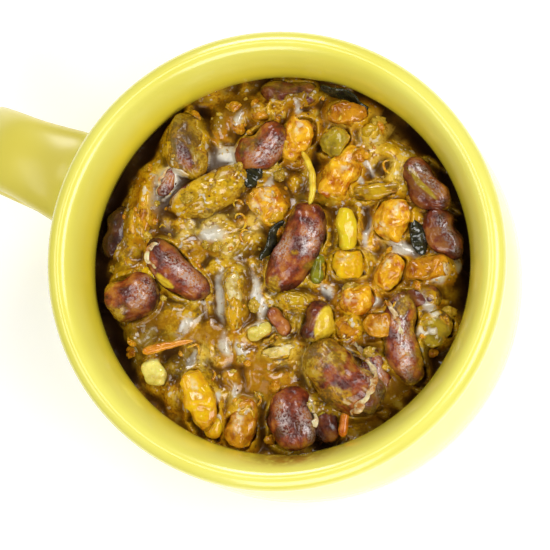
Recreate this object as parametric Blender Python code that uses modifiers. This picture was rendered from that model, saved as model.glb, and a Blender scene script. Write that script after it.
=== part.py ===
"""Soup mug of rajma: kidney beans and vegetable pieces in a thick gravy, in one glazed stoneware mug.

The mug stands on the XY plane with its axis on Z, and its loop handle points along -X.
Lengths in the tables are millimetres and angles are degrees; objects are made in metres.
"""
import math
import random
from collections import namedtuple

import bmesh
import bpy
from mathutils import Matrix, Vector, noise

MM = 0.001
GAP = 0.3
WELD = 0.004
SEGMENTS = 32

# Mug: radius and height of its inner face, its rolled lip and its outer face, floor to foot.
FLOOR_HEIGHT = 6.0
INNER_WALL = ((32.0, 6.0), (43.5, 9.0), (48.6, 20.0), (48.8, 35.0), (45.8, 52.0), (43.8, 62.5), (44.9, 69.5))
LIP = ((47.2, 74.4), (49.6, 76.0), (51.9, 75.0), (52.5, 73.0), (51.2, 70.2))
OUTER_WALL = ((48.9, 66.0), (48.6, 60.5), (51.0, 49.0), (53.6, 34.0), (53.4, 20.0), (48.8, 7.0))
FOOT = ((42.6, 1.0), (39.0, 0.0))
PROFILE_STEPS = 2

# Handle: centre line of the loop in the XZ plane, and the size of its oval strap.
HANDLE_PATH = ((-49.0, 48.5), (-60.0, 51.0), (-72.0, 48.5), (-81.0, 41.0), (-83.7, 33.0),
               (-81.0, 24.5), (-72.0, 18.0), (-61.0, 15.5), (-50.0, 17.0))
HANDLE_THICKNESS = 8.6
HANDLE_WIDTH = 19.5
HANDLE_ROOT_FLARE = 1.25

# Heap: height of the gravy at the centre, on its shoulder and in the gap along the wall,
# where it stands higher at two opposite sides.
HEAP_CENTRE = 65.4
HEAP_SHOULDER = 63.4
HEAP_EDGE = 57.2
SHOULDER_RADIUS = 36.0
EDGE_SWELL = 4.0
EDGE_SWELL_HEADING = 109.0
EDGE_RIPPLES = ((0.5, 3, 0.6), (0.4, 7, 2.0))
LUMP_HEIGHT = 1.3
LUMP_LENGTH = 7.5
TOP_RINGS = 11
WALL_RINGS = 6

# Mounds of gravy over what is wholly coated.
Mound = namedtuple("Mound", "x y radius height")
MOUNDS = (
    Mound(10.0, 33.6, 5.5, 1.8), Mound(16.5, 32.0, 4.0, 1.2), Mound(-16.8, 0.6, 5.5, 1.6),
    Mound(-24.2, 0.3, 4.5, 1.2), Mound(-22.2, 27.2, 5.5, 1.2), Mound(24.6, 15.4, 3.5, 0.8),
    Mound(12.6, -25.4, 6.0, 1.4), Mound(-20.0, -24.2, 5.0, 1.0), Mound(-11.8, -38.2, 4.5, 1.2),
    Mound(-1.8, -21.2, 4.5, 1.3), Mound(-8.4, -24.2, 4.0, 0.9), Mound(-26.8, -31.2, 4.0, 1.0),
    Mound(-11.8, -4.8, 4.0, 1.0), Mound(35.4, -21.2, 4.5, 1.4),
)

# Pieces: centre, heading of the long side from +X, size, tilt of that side and lean across it.
Bean = namedtuple("Bean", "name x y z heading length width tilt bend")
BEANS = (
    Bean("bean_centre", 2.2, 4.8, 65.6, 88, 22.0, 10.0, 2, 0.08),
    Bean("bean_split", -21.6, -11.0, 65.0, -20, 18.5, 8.4, -3, 0.12),
    Bean("bean_west", -28.8, -20.8, 64.4, 39, 12.8, 11.0, 10, 0.05),
    Bean("bean_north", -14.6, 23.2, 65.0, 59, 13.5, 9.6, 8, 0.08),
    Bean("bean_north_east", 23.4, 29.8, 63.8, -28, 15.0, 8.2, 4, 0.10),
    Bean("bean_east", 31.8, 21.2, 62.8, -43, 13.0, 8.0, -6, 0.10),
    Bean("bean_large", 24.0, -18.2, 64.8, -21, 21.6, 12.4, 3, 0.08),
    Bean("bean_curved", 32.9, -4.6, 64.4, -59, 21.4, 8.6, -4, 0.24),
    Bean("bean_south", 17.3, -31.5, 65.0, -52, 14.8, 10.8, 12, 0.05),
    Bean("bean_north_west", -31.2, 16.8, 63.8, -58, 15.5, 9.8, 5, 0.08),
    Bean("bean_coated", -21.6, 9.0, 64.2, 50, 20.0, 9.0, 0, 0.10),
    Bean("bean_low_west", -39.2, -8.2, 59.0, 102, 13.0, 6.2, 0, 0.06),
    Bean("bean_low_east", 30.6, -13.8, 61.8, -52, 11.6, 7.0, 0, 0.06),
    Bean("bean_half", 13.7, -8.9, 65.4, 99, 9.8, 7.0, 0, 0.06),
    Bean("bean_far_north", -14.1, 37.3, 62.2, 22, 14.2, 6.8, 0, 0.06),
    Bean("bean_low_south", 24.3, -28.9, 61.8, -58, 10.0, 6.8, 0, 0.06),
    Bean("bean_low_middle", 33.0, 6.2, 62.6, 6, 8.6, 6.0, 0, 0.06),
    Bean("bean_skin_west", -32.0, 7.2, 63.8, 99, 7.6, 3.8, 0, 0.04),
    Bean("bean_skin_south", 5.6, -12.1, 65.8, -28, 8.0, 3.8, 0, 0.04),
)
BEAN_THICKNESS_SHARE = 0.92
BEAN_BLUNTNESS = 2.4
BEAN_FULLNESS = 0.44
BEAN_NOTCH_DEPTH = 0.16
BEAN_NOTCH_REACH = 0.35
BEAN_SIDES = 10
BEAN_RINGS = 7

Chunk = namedtuple("Chunk", "name x y z heading length width height tilt")
CHUNKS = (
    Chunk("tomato_centre", 20.0, -0.6, 65.2, 44, 8.4, 5.6, 5.0, 0),
    Chunk("tomato_north", -8.0, 28.0, 65.3, 89, 9.4, 6.2, 5.0, 8),
    Chunk("tomato_far_north", 0.4, 38.0, 63.6, 16, 9.0, 5.4, 5.0, 0),
    Chunk("tomato_top", -17.2, 31.4, 63.8, 29, 8.0, 4.8, 4.4, 0),
    Chunk("tomato_middle", -7.8, 11.4, 65.2, -36, 9.4, 6.4, 5.0, 0),
    Chunk("tomato_north_east", 4.9, 25.0, 65.4, 82, 13.0, 7.0, 5.4, -6),
    Chunk("tomato_east_1", 19.9, 19.6, 65.4, 94, 9.4, 8.2, 5.6, 5),
    Chunk("tomato_east_2", 24.4, 8.4, 65.2, 86, 8.4, 5.8, 5.0, 5),
    Chunk("tomato_east_3", 31.6, 12.4, 64.2, 39, 9.2, 5.6, 4.8, 0),
    Chunk("tomato_east_4", 27.0, -4.2, 66.6, 34, 6.6, 5.6, 4.2, 0),
    Chunk("tomato_south", 6.5, -36.8, 63.4, 104, 11.0, 7.0, 5.4, -4),
    Chunk("tomato_skin", -34.2, -1.1, 63.0, 109, 13.0, 3.4, 3.4, 0),
    Chunk("potato_south_west", -4.3, -35.8, 64.4, -46, 14.4, 7.2, 6.4, 8),
    Chunk("potato_centre", 14.8, 6.2, 65.6, 24, 8.0, 6.4, 5.0, 0),
    Chunk("potato_low", 20.8, -7.2, 64.8, 54, 7.4, 5.6, 4.6, 0),
    Chunk("pepper_strip", 11.4, 13.4, 65.8, -64, 9.4, 4.2, 4.0, 0),
    Chunk("pepper_green", 8.9, 2.2, 65.2, 104, 6.0, 3.4, 3.6, 0),
    Chunk("onion_south", 1.2, -40.0, 63.2, 104, 5.6, 4.0, 4.0, 0),
    Chunk("onion_south_west", -16.8, -34.5, 62.8, -36, 6.2, 4.8, 3.6, 0),
    Chunk("onion_north", 0.4, 31.0, 65.0, 84, 7.4, 6.0, 4.8, 0),
    Chunk("onion_far_north", 7.0, 36.2, 64.6, 44, 4.2, 3.6, 3.6, 0),
    Chunk("onion_east", 38.4, 0.9, 62.6, 64, 7.8, 6.8, 5.0, 0),
    Chunk("onion_slice", 13.7, 24.2, 64.6, 29, 13.0, 3.8, 3.4, 0),
    Chunk("onion_bit", 21.2, -26.8, 63.8, -16, 7.0, 3.4, 3.2, 0),
    Chunk("onion_middle", -6.3, -11.9, 65.0, -64, 13.2, 4.0, 4.0, 0),
    Chunk("onion_olive", 6.6, -6.6, 65.0, 16, 7.6, 3.8, 3.8, 0),
    Chunk("onion_pale", 2.1, -16.0, 65.2, 44, 6.0, 3.6, 3.4, 0),
    Chunk("onion_low", 8.2, -18.6, 64.8, 32, 8.8, 3.4, 3.4, 0),
    Chunk("potato_bit", -27.0, -14.0, 64.4, 24, 3.6, 3.2, 3.0, 0),
)

CHUNK_ROUNDNESS = 3.4
CHUNK_UNEVENNESS = 0.10

Strip = namedtuple("Strip", "name x y z heading length thickness bow")
STRIPS = (
    Strip("ginger_sliver", -2.2, 20.4, 66.9, -58, 12.6, 1.5, 1.6),
    Strip("ginger_needle", -16.0, -27.8, 65.0, 36, 12.0, 1.4, 0.3),
    Strip("chilli_strip", 28.6, -26.8, 63.6, 102, 7.6, 1.8, 0.5),
)

STRIP_POINTS = 6
STRIP_TAPER = 0.35

Leaf = namedtuple("Leaf", "name x y z heading length width tilt lean")
LEAVES = (
    Leaf("leaf_north", -2.0, 41.3, 63.9, -3, 12.5, 4.4, 0, 65),
    Leaf("leaf_centre", -3.5, 4.2, 65.9, 86, 10.5, 3.6, 0, 60),
    Leaf("leaf_west", -13.8, 16.2, 65.9, 84, 6.0, 4.2, 6, 12),
    Leaf("leaf_east", 27.0, 18.2, 65.0, -52, 8.5, 4.2, 0, -20),
)
LEAF_THICKNESS = 0.6
LEAF_COLUMNS = 6
LEAF_ROWS = 2
LEAF_WAVE = 0.5
LEAF_CUP = 0.35


def mix(low, high, share):
    return low + (high - low) * share


def smooth_step(low, high, value):
    share = min(max((value - low) / (high - low), 0.0), 1.0)
    return share * share * (3.0 - 2.0 * share)


def curve_through(points, steps):
    """Points along a Catmull-Rom curve through the given 2D points, ends included."""
    ends = [points[0], *points, points[-1]]
    path = []
    for before, start, end, after in zip(ends, ends[1:], ends[2:], ends[3:]):
        for step in range(steps):
            t = step / steps
            path.append(tuple(
                0.5 * (2 * b + (c - a) * t + (2 * a - 5 * b + 4 * c - d) * t ** 2
                       + (3 * b - a - 3 * c + d) * t ** 3)
                for a, b, c, d in zip(before, start, end, after)))
    return path + [points[-1]]


def inner_radius(height):
    """Radius of the mug's inner face at a height."""
    path = curve_through(INNER_WALL + LIP[:2], 8)
    for (low_radius, low), (high_radius, high) in zip(path, path[1:]):
        if low <= height <= high:
            return mix(low_radius, high_radius, (height - low) / (high - low))
    return path[0][0]


def edge_height(angle):
    """Height of the gravy where it meets the wall."""
    swell = 0.5 + 0.5 * math.cos(2 * (angle - math.radians(EDGE_SWELL_HEADING)))
    ripple = sum(height * math.sin(waves * angle + phase) for height, waves, phase in EDGE_RIPPLES)
    return HEAP_EDGE + EDGE_SWELL * swell + ripple


def heap_height(x, y):
    """Height of the gravy's uneven top."""
    radius = math.hypot(x, y)
    dome = mix(HEAP_CENTRE, HEAP_SHOULDER, smooth_step(0.0, SHOULDER_RADIUS, radius))
    edge = edge_height(math.atan2(y, x))
    slope = smooth_step(SHOULDER_RADIUS, inner_radius(edge) - GAP, radius)
    lumps = noise.noise(Vector((x, y, 0.0)) / LUMP_LENGTH) * LUMP_HEIGHT * (1.0 - slope)
    for mound in MOUNDS:
        reach = math.hypot(x - mound.x, y - mound.y) / mound.radius
        lumps += mound.height * math.exp(-reach * reach)
    return mix(dome, edge, slope) + lumps * min(1.0, 1.6 - 1.6 * slope)


def material(name, colour, roughness, metallic=0.0):
    made = bpy.data.materials.new(name)
    made.use_nodes = True
    made.diffuse_color = (*colour, 1.0)
    shader = made.node_tree.nodes["Principled BSDF"]
    shader.inputs["Base Color"].default_value = (*colour, 1.0)
    shader.inputs["Roughness"].default_value = roughness
    shader.inputs["Metallic"].default_value = metallic
    return made


def add_object(name, data, collection):
    made = bpy.data.objects.new(name, data)
    collection.objects.link(made)
    return made


def mesh_from(name, bm):
    """Mesh from a bmesh, triangulated and with its faces pointing outwards."""
    bmesh.ops.triangulate(bm, faces=bm.faces)
    if bm.calc_volume(signed=True) < 0.0:
        bmesh.ops.reverse_faces(bm, faces=bm.faces)
    mesh = bpy.data.meshes.new(name)
    bm.to_mesh(mesh)
    bm.free()
    return mesh


def freeze(target):
    """Replace an object's data with its evaluated mesh and drop its modifiers."""
    depsgraph = bpy.context.evaluated_depsgraph_get()
    target.data = bpy.data.meshes.new_from_object(target.evaluated_get(depsgraph))
    target.modifiers.clear()


def turned(name, profile, collection):
    """Solid turned about Z from a profile in millimetres that starts and ends on the axis."""
    mesh = bpy.data.meshes.new(name)
    points = [(radius * MM, 0.0, height * MM) for radius, height in profile]
    mesh.from_pydata(points, [(i, i + 1) for i in range(len(points) - 1)], [])
    made = add_object(name, mesh, collection)
    screw = made.modifiers.new("turn", "SCREW")
    screw.steps = SEGMENTS
    screw.render_steps = SEGMENTS
    screw.use_merge_vertices = True
    screw.merge_threshold = WELD * MM
    freeze(made)
    return made


def combine(target, other, operation):
    """Boolean of two objects, applied to the first; a collection may stand as the second."""
    change = target.modifiers.new(operation.lower(), "BOOLEAN")
    change.operation = operation
    change.solver = "EXACT"
    if isinstance(other, bpy.types.Collection):
        change.operand_type = "COLLECTION"
        change.collection = other
    else:
        change.object = other
    freeze(target)


def body_faces(bm):
    """Faces of each connected body, as a list of lists."""
    waiting = set(bm.faces)
    bodies = []
    while waiting:
        body = [waiting.pop()]
        for face in body:
            for edge in face.edges:
                for neighbour in edge.link_faces:
                    if neighbour in waiting:
                        waiting.remove(neighbour)
                        body.append(neighbour)
        bodies.append(body)
    return bodies


def tidy_solid(target):
    """Weld hair-thin faces and drop the loose scraps that a cut leaves."""
    bm = bmesh.new()
    bm.from_mesh(target.data)
    bmesh.ops.triangulate(bm, faces=bm.faces)
    bmesh.ops.dissolve_degenerate(bm, edges=bm.edges, dist=WELD * MM)
    bodies = sorted(body_faces(bm), key=lambda body: sum(face.calc_area() for face in body))
    scraps = [face for body in bodies[:-1] for face in body]
    bmesh.ops.delete(bm, geom=scraps, context="FACES")
    bmesh.ops.triangulate(bm, faces=bm.faces)
    bm.to_mesh(target.data)
    bm.free()


def placement(piece, tilt=0.0, lean=0.0):
    """Matrix that puts a piece in place, from its own millimetres to metres."""
    return (Matrix.Scale(MM, 4) @ Matrix.Translation((piece.x, piece.y, piece.z))
            @ Matrix.Rotation(math.radians(piece.heading), 4, "Z")
            @ Matrix.Rotation(math.radians(-tilt), 4, "Y")
            @ Matrix.Rotation(math.radians(lean), 4, "X"))


def bean_mesh(bean, grow):
    """Kidney bean: blunt ends, both bent towards one side, with a shallow notch there."""
    half_length = bean.length / 2 + grow
    half_width = bean.width / 2 + grow
    half_thickness = bean.width * BEAN_THICKNESS_SHARE / 2 + grow
    bm = bmesh.new()
    bmesh.ops.create_uvsphere(bm, u_segments=BEAN_SIDES, v_segments=BEAN_RINGS, radius=1.0)
    for vert in bm.verts:
        side, up, along = vert.co
        round_share = math.hypot(side, up)
        fullness = 0.0
        if round_share > 0.001:
            fullness = (1.0 - abs(along) ** BEAN_BLUNTNESS) ** BEAN_FULLNESS / round_share
        notch = BEAN_NOTCH_DEPTH * math.exp(-(along / BEAN_NOTCH_REACH) ** 2) * max(side, 0.0)
        vert.co.x = along * half_length
        vert.co.y = (side * fullness - notch) * half_width + bean.bend * bean.width * (along ** 2 - 0.3)
        vert.co.z = up * fullness * half_thickness
    bm.transform(placement(bean, bean.tilt))
    return mesh_from(bean.name, bm)


def chunk_mesh(chunk, grow):
    """Cut vegetable piece: a rounded block, a little uneven."""
    shape = random.Random(chunk.name)
    uneven = [1.0 + shape.uniform(-CHUNK_UNEVENNESS, CHUNK_UNEVENNESS) for _ in range(6)]
    bm = bmesh.new()
    bmesh.ops.create_cube(bm, size=2.0)
    bmesh.ops.subdivide_edges(bm, edges=bm.edges, cuts=1, use_grid_fill=True)
    halves = [chunk.length / 2 + grow, chunk.width / 2 + grow, chunk.height / 2 + grow]
    for vert in bm.verts:
        size = sum(abs(value) ** CHUNK_ROUNDNESS for value in vert.co) ** (1.0 / CHUNK_ROUNDNESS)
        for axis in range(3):
            share = vert.co[axis] / size
            other = vert.co[(axis + 1) % 3] / size
            taper = mix(uneven[axis], uneven[axis + 3], 0.5 + 0.5 * other)
            vert.co[axis] = share * halves[axis] * taper
    bm.transform(placement(chunk, chunk.tilt))
    return mesh_from(chunk.name, bm)


def strip_mesh(strip, grow):
    """Thin round sliver, bowed sideways."""
    curve = bpy.data.curves.new(strip.name, "CURVE")
    curve.dimensions = "3D"
    curve.bevel_depth = strip.thickness / 2 + grow
    curve.bevel_resolution = 0
    curve.use_fill_caps = True
    spline = curve.splines.new("POLY")
    spline.points.add(STRIP_POINTS - 1)
    half_length = strip.length / 2 + grow
    for index, point in enumerate(spline.points):
        along = mix(-1.0, 1.0, index / (STRIP_POINTS - 1))
        point.co = (along * half_length, strip.bow * (1.0 - along ** 2), 0.0, 1.0)
        point.radius = 1.0 - STRIP_TAPER * along ** 4
    holder = add_object(strip.name, curve, bpy.context.scene.collection)
    depsgraph = bpy.context.evaluated_depsgraph_get()
    mesh = bpy.data.meshes.new_from_object(holder.evaluated_get(depsgraph))
    bpy.data.objects.remove(holder)
    bpy.data.curves.remove(curve)
    bm = bmesh.new()
    bm.from_mesh(mesh)
    bmesh.ops.remove_doubles(bm, verts=bm.verts, dist=WELD)
    bm.transform(placement(strip))
    return mesh_from(strip.name, bm)


def leaf_mesh(leaf, grow):
    """Thin wavy leaf, pointed at both ends, both faces split into the same triangles."""
    bm = bmesh.new()
    bmesh.ops.create_grid(bm, x_segments=LEAF_COLUMNS, y_segments=LEAF_ROWS, size=1.0)
    bmesh.ops.triangulate(bm, faces=bm.faces)
    for vert in bm.verts:
        along, across = vert.co.x, vert.co.y
        outline = 0.16 + 0.84 * (1.0 - along ** 2) ** 0.8
        vert.co.x = along * (leaf.length / 2 + grow)
        vert.co.y = across * (leaf.width / 2 + grow) * outline
        vert.co.z = LEAF_WAVE * math.sin(4.2 * along + leaf.x) - LEAF_CUP * across ** 2
    bmesh.ops.solidify(bm, geom=list(bm.faces), thickness=LEAF_THICKNESS + 2 * grow)
    middle = sum(vert.co.z for vert in bm.verts) / len(bm.verts)
    for vert in bm.verts:
        vert.co.z -= middle
    bm.transform(placement(leaf, leaf.tilt, leaf.lean))
    return mesh_from(leaf.name, bm)


MAKERS = ((BEANS, bean_mesh), (CHUNKS, chunk_mesh), (STRIPS, strip_mesh), (LEAVES, leaf_mesh))


def make_bowl(collection, finish):
    """Mug body turned from its profile, with the handle loop joined to it."""
    profile = curve_through(INNER_WALL + LIP + OUTER_WALL + FOOT, PROFILE_STEPS)
    bowl = turned("bowl", [(0.0, FLOOR_HEIGHT), *profile, (0.0, 0.0)], collection)
    curve = bpy.data.curves.new("handle", "CURVE")
    curve.dimensions = "3D"
    curve.bevel_depth = HANDLE_THICKNESS / 2 * MM
    curve.bevel_resolution = 2
    curve.use_fill_caps = True
    path = curve_through(HANDLE_PATH, 2)
    spline = curve.splines.new("POLY")
    spline.points.add(len(path) - 1)
    for index, (x, z) in enumerate(path):
        from_end = min(index, len(path) - 1 - index)
        spline.points[index].co = (x * MM, 0.0, z * MM, 1.0)
        spline.points[index].radius = mix(HANDLE_ROOT_FLARE, 1.0, smooth_step(0, 4, from_end))
    loop = add_object("handle", curve, collection)
    depsgraph = bpy.context.evaluated_depsgraph_get()
    mesh = bpy.data.meshes.new_from_object(loop.evaluated_get(depsgraph))
    bpy.data.objects.remove(loop)
    bm = bmesh.new()
    bm.from_mesh(mesh)
    bmesh.ops.remove_doubles(bm, verts=bm.verts, dist=WELD * MM)
    bm.transform(Matrix.Diagonal((1.0, HANDLE_WIDTH / HANDLE_THICKNESS, 1.0, 1.0)))
    handle = add_object("handle", mesh_from("handle", bm), collection)
    combine(bowl, handle, "UNION")
    bpy.data.objects.remove(handle)
    tidy_solid(bowl)
    bowl.data.materials.append(finish)
    bowl.data.shade_smooth()
    return bowl


def make_gravy(collection, pits, finish):
    """Thick gravy that fills the mug to the wall, with a pit for each piece that lies in it."""
    rim = inner_radius(HEAP_EDGE) - GAP
    top = [(rim * ring / TOP_RINGS, HEAP_EDGE) for ring in range(TOP_RINGS)]
    floor = FLOOR_HEIGHT + GAP
    heights = [mix(HEAP_EDGE, floor, step / WALL_RINGS) for step in range(WALL_RINGS + 1)]
    wall = [(inner_radius(height) - GAP, height) for height in heights]
    gravy = turned("gravy", [*top, *wall, (0.0, floor)], collection)
    for vert in gravy.data.vertices:
        x, y, z = vert.co / MM
        radius = math.hypot(x, y)
        if z > HEAP_EDGE - 0.01 and radius < rim - 0.1:
            vert.co.z = heap_height(x, y) * MM
        elif z > heights[2]:
            edge = edge_height(math.atan2(y, x))
            raised = mix(heights[2], edge, (z - heights[2]) / (HEAP_EDGE - heights[2]))
            scale = (inner_radius(raised) - GAP) / radius
            vert.co = Vector((x * scale, y * scale, raised)) * MM
    combine(gravy, pits, "DIFFERENCE")
    tidy_solid(gravy)
    gravy.data.materials.append(finish)
    return gravy


def bounds(mesh):
    low = Vector([min(vert.co[axis] for vert in mesh.vertices) for axis in range(3)])
    high = Vector([max(vert.co[axis] for vert in mesh.vertices) for axis in range(3)])
    return low, high


def boxes_meet(first, second):
    return all(first[0][axis] < second[1][axis] and second[0][axis] < first[1][axis] for axis in range(3))


def make_pieces(collection, pits, finishes):
    """Beans, vegetables, slivers and leaves; a later piece gives way to the ones it meets."""
    placed = []
    for table, maker in MAKERS:
        for row in table:
            piece = add_object(row.name, maker(row, 0.0), collection)
            pit = add_object(row.name + "_pit", maker(row, GAP), pits)
            pit.hide_render = True
            pit.display_type = "WIRE"
            box = bounds(piece.data)
            for earlier, earlier_box in placed:
                if boxes_meet(box, earlier_box):
                    combine(piece, earlier, "DIFFERENCE")
            placed.append((pit, bounds(pit.data)))
            tidy_solid(piece)
            piece.data.materials.append(finishes[row.name.split("_")[0]])
            piece.data.shade_smooth()


def main():
    for old in list(bpy.data.objects):
        bpy.data.objects.remove(old)
    food = bpy.data.collections.new("mug of rajma")
    pits = bpy.data.collections.new("pits")
    bpy.context.scene.collection.children.link(food)
    bpy.context.scene.collection.children.link(pits)
    finishes = {
        "glaze": material("glaze", (0.86, 0.76, 0.12), 0.18),
        "gravy": material("gravy", (0.36, 0.17, 0.02), 0.25),
        "bean": material("bean", (0.16, 0.035, 0.02), 0.30),
        "tomato": material("tomato", (0.60, 0.26, 0.02), 0.28),
        "potato": material("potato", (0.76, 0.46, 0.06), 0.35),
        "onion": material("onion", (0.50, 0.34, 0.05), 0.30),
        "pepper": material("pepper", (0.78, 0.55, 0.04), 0.28),
        "ginger": material("ginger", (0.72, 0.50, 0.06), 0.35),
        "chilli": material("chilli", (0.62, 0.12, 0.02), 0.30),
        "leaf": material("leaf", (0.03, 0.05, 0.015), 0.35),
    }
    make_bowl(food, finishes["glaze"])
    make_pieces(food, pits, finishes)
    make_gravy(food, pits, finishes["gravy"])
    for pit in list(pits.objects):
        bpy.data.objects.remove(pit)


main()
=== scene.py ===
"""Looks of a handled soup mug filled with rajma: glaze, gravy, beans, vegetables, crumbs and a pale stage.

Lengths in the tables are millimetres and angles are degrees; meshes are made in metres.
"""
import math
import random
from collections import namedtuple

import bmesh
import bpy
import numpy as np
from bpy.props import FloatProperty, FloatVectorProperty, IntProperty, PointerProperty
from mathutils import Matrix, Vector, noise
from mathutils.kdtree import KDTree


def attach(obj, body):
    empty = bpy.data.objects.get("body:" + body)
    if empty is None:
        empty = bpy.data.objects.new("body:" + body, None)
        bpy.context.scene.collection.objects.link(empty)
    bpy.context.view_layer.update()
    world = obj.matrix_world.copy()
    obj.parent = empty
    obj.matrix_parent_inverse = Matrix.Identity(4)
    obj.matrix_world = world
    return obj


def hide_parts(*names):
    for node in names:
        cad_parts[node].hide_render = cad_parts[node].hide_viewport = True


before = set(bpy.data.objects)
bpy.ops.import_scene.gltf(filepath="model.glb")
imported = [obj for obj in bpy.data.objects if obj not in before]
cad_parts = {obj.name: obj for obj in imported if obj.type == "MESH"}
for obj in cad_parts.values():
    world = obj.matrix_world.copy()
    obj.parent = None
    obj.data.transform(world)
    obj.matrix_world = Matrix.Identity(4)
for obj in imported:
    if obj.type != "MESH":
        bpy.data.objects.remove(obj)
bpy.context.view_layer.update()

bl_info = {
    "name": "Mug of rajma",
    "version": (1, 0, 0),
    "blender": (4, 5, 0),
    "location": "View3D > Sidebar > Rajma",
    "description": "Builds a glazed soup mug of kidney bean curry and the stage around it",
    "category": "Object",
}

MM = 0.001


def rows(kind, *values):
    """Table of rows of one kind."""
    return tuple(kind(*row) for row in values)


# Mug: radius and height of its inner face, its rolled lip and its outer face, floor to foot.
FLOOR_HEIGHT = 6.0
INNER_WALL = ((32.0, 6.0), (43.5, 9.0), (48.6, 20.0), (48.8, 35.0), (45.8, 52.0), (43.8, 62.5), (44.9, 69.5))
LIP = ((47.2, 74.4), (49.6, 76.0), (51.9, 75.0), (52.5, 73.0), (51.2, 70.2))
OUTER_WALL = ((48.9, 66.0), (48.6, 60.5), (51.0, 49.0), (53.6, 34.0), (53.4, 20.0), (48.8, 7.0))
FOOT = ((42.6, 1.0), (39.0, 0.0))
HANDLE_PATH = ((-49.0, 48.5), (-60.0, 51.0), (-72.0, 48.5), (-81.0, 41.0), (-83.7, 33.0),
               (-81.0, 24.5), (-72.0, 18.0), (-61.0, 15.5), (-50.0, 17.0))
HANDLE_THICKNESS = 8.6
HANDLE_WIDTH = 19.5
HANDLE_ROOT_FLARE = 1.25
HANDLE_FLARE_STEPS = 20
HANDLE_STEPS = 10
HANDLE_SIDES = 48
PROFILE_STEPS = 8

# Corner between the handle and the wall: where its sharp edges lie, and how far from them the mesh
# is joined, made finer and rounded off.
CORNER_SIDE = -45.0
CORNER_HEIGHTS = (5.0, 62.0)
CORNER_ANGLE = 0.6
CORNER_MERGE = 0.5
CORNER_MERGE_REACH = 1.5
CORNER_REACH = 8.0
CORNER_FINE_REACH = 6.0
CORNER_CORE_REACH = 5.0
CORNER_ROUND_REACH = (3.0, 6.0)

# Glaze: where it runs out above the foot, turns a deeper yellow on the inner wall, and turns rougher and
# darker on the handle, the darker colour being painted shade.
GLAZE_END = (1.1, 0.7)
INNER_GLAZE_HEIGHTS = (74.0, 66.0)
HANDLE_GLAZE_SPAN = (-53.0, -60.0)

# Film and splash of gravy on the inner wall, the film partly a painted reflection of the food in the glaze:
# headings, where they start and how they fade.
WALL_TOLERANCE = 0.4
FILM_HEADING = -48.0
FILM_SIDES = (0.45, 1.0)
FILM_START = 0.3
FILM_FADE = 2.0
SPLASH_HEADING = -62.0
SPLASH_HALF_ANGLE = 0.20
SPLASH_HEIGHTS = (75.0, 71.5)
SPLASH_SHARE = 0.9

# Number that fixes the noise behind every uneven shape.
NOISE_SEED = 7

# Height above the mug from which the food is felt for.
ABOVE_MUG = 90.0

# Heap of gravy: its gap to the wall, its level from the middle to the wall, and its lumps.
GAP = 0.3
HEAP_CENTRE = 65.4
HEAP_SHOULDER = 63.4
HEAP_EDGE = 57.2
SHOULDER_RADIUS = 36.0
EDGE_SWELL = 4.0
EDGE_SWELL_HEADING = 109.0
EDGE_RIPPLES = ((0.5, 3, 0.6), (0.4, 7, 2.0))
LUMP_HEIGHT = 1.3
LUMP_LENGTH = 7.5
LUMPS_ON_SLOPE = 1.6
Mound = namedtuple("Mound", "x y radius height")
MOUNDS = rows(
    Mound,
    (10.0, 33.6, 5.5, 1.8), (16.5, 32.0, 4.0, 1.2), (-16.8, 0.6, 5.5, 1.6), (-24.2, 0.3, 4.5, 1.2),
    (-22.2, 27.2, 5.5, 1.2), (24.6, 15.4, 3.5, 0.8), (12.6, -25.4, 6.0, 1.4), (-20.0, -24.2, 5.0, 1.0),
    (-11.8, -38.2, 4.5, 1.2), (-1.8, -21.2, 4.5, 1.3), (-8.4, -24.2, 4.0, 0.9), (-26.8, -31.2, 4.0, 1.0),
    (-11.8, -4.8, 4.0, 1.0), (35.4, -21.2, 4.5, 1.4), (10.6, 32.6, 2.8, 1.5), (15.6, 33.6, 2.6, 1.2),
    (16.2, 28.9, 2.6, 1.2), (6.2, 34.4, 2.4, 1.0),
)

# Heading of the picture's right edge.
PICTURE_RIGHT = 24.0

# Side where thin brown gravy fills the gap along the wall, and radii between which it rises.
BROWN_SIDE_HEADING = -24.0
BROWN_SIDE_RADII = (36.0, 42.0)
BROWN_SIDE_RISE = 1.8

# Gap along the wall: radii between which the gravy falls away, and depth of that and of a hollow.
WALL_RADII = (38.5, 43.0)
WALL_DROP = 0.7
HOLLOW_DROP = 1.3

# Heights between which painted shade darkens the gravy in the gap and in the hollows.
GAP_SHADE_HEIGHTS = (60.4, 57.6)
HOLLOW_SHADE_HEIGHTS = (64.5, 61.5)

# Pools lie flat, leaning a little towards the light.
POOL_LEAN = 0.30
POOL_FLATNESS = 0.8

# Lumps of the gravy: length and layer of noise of the coarse and of the fine ones, how high both are
# and where their middle height is, how far their cells are bent, how steep their borders are, and the
# least height of a lump.
COARSE_LUMPS = (5.4, 3.0)
FINE_LUMPS = (2.7, 9.0)
COARSE_RISE = 2.9
FINE_RISE = 0.7
LUMP_MIDDLE = 0.6
CELL_BEND = 0.35
CELL_BORDER = 2.2
CELL_LEAST = 0.25

# Ragged outlines: depth and length of the waves that bend them, and how far they bend the places on
# the gravy and the outlines of the pieces.
OUTLINE_WAVES = ((0.9, 4.5), (0.4, 1.7))
PLACE_BEND = 1.4
PIECE_BEND = 0.4

# Gravy that climbs up the pieces: how far round a piece it is looked for, how ragged and how high it
# climbs and how much thicker it lies on beans and on chunks, and how it runs off.
CLIMB_MARGIN = 2.0
BEAN_CLIMB = (1.2, 1.2, 0.0)
CHUNK_CLIMB = (2.2, 1.7, 0.5)
CLIMB_ROUNDING = 1.5
RUN_OFF_DROPS = (-4.5, -0.5)

# How far the gravy's edge reaches into the wall and its hidden side stays off it, and heights of the
# rings of that side, from the edge down to the mug's floor.
EDGE_OVERLAP = 0.25
HIDDEN_GAP = 0.02
HIDDEN_RINGS = (50.0, 40.0, 30.0, 18.0, 9.0, FLOOR_HEIGHT + GAP)

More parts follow.
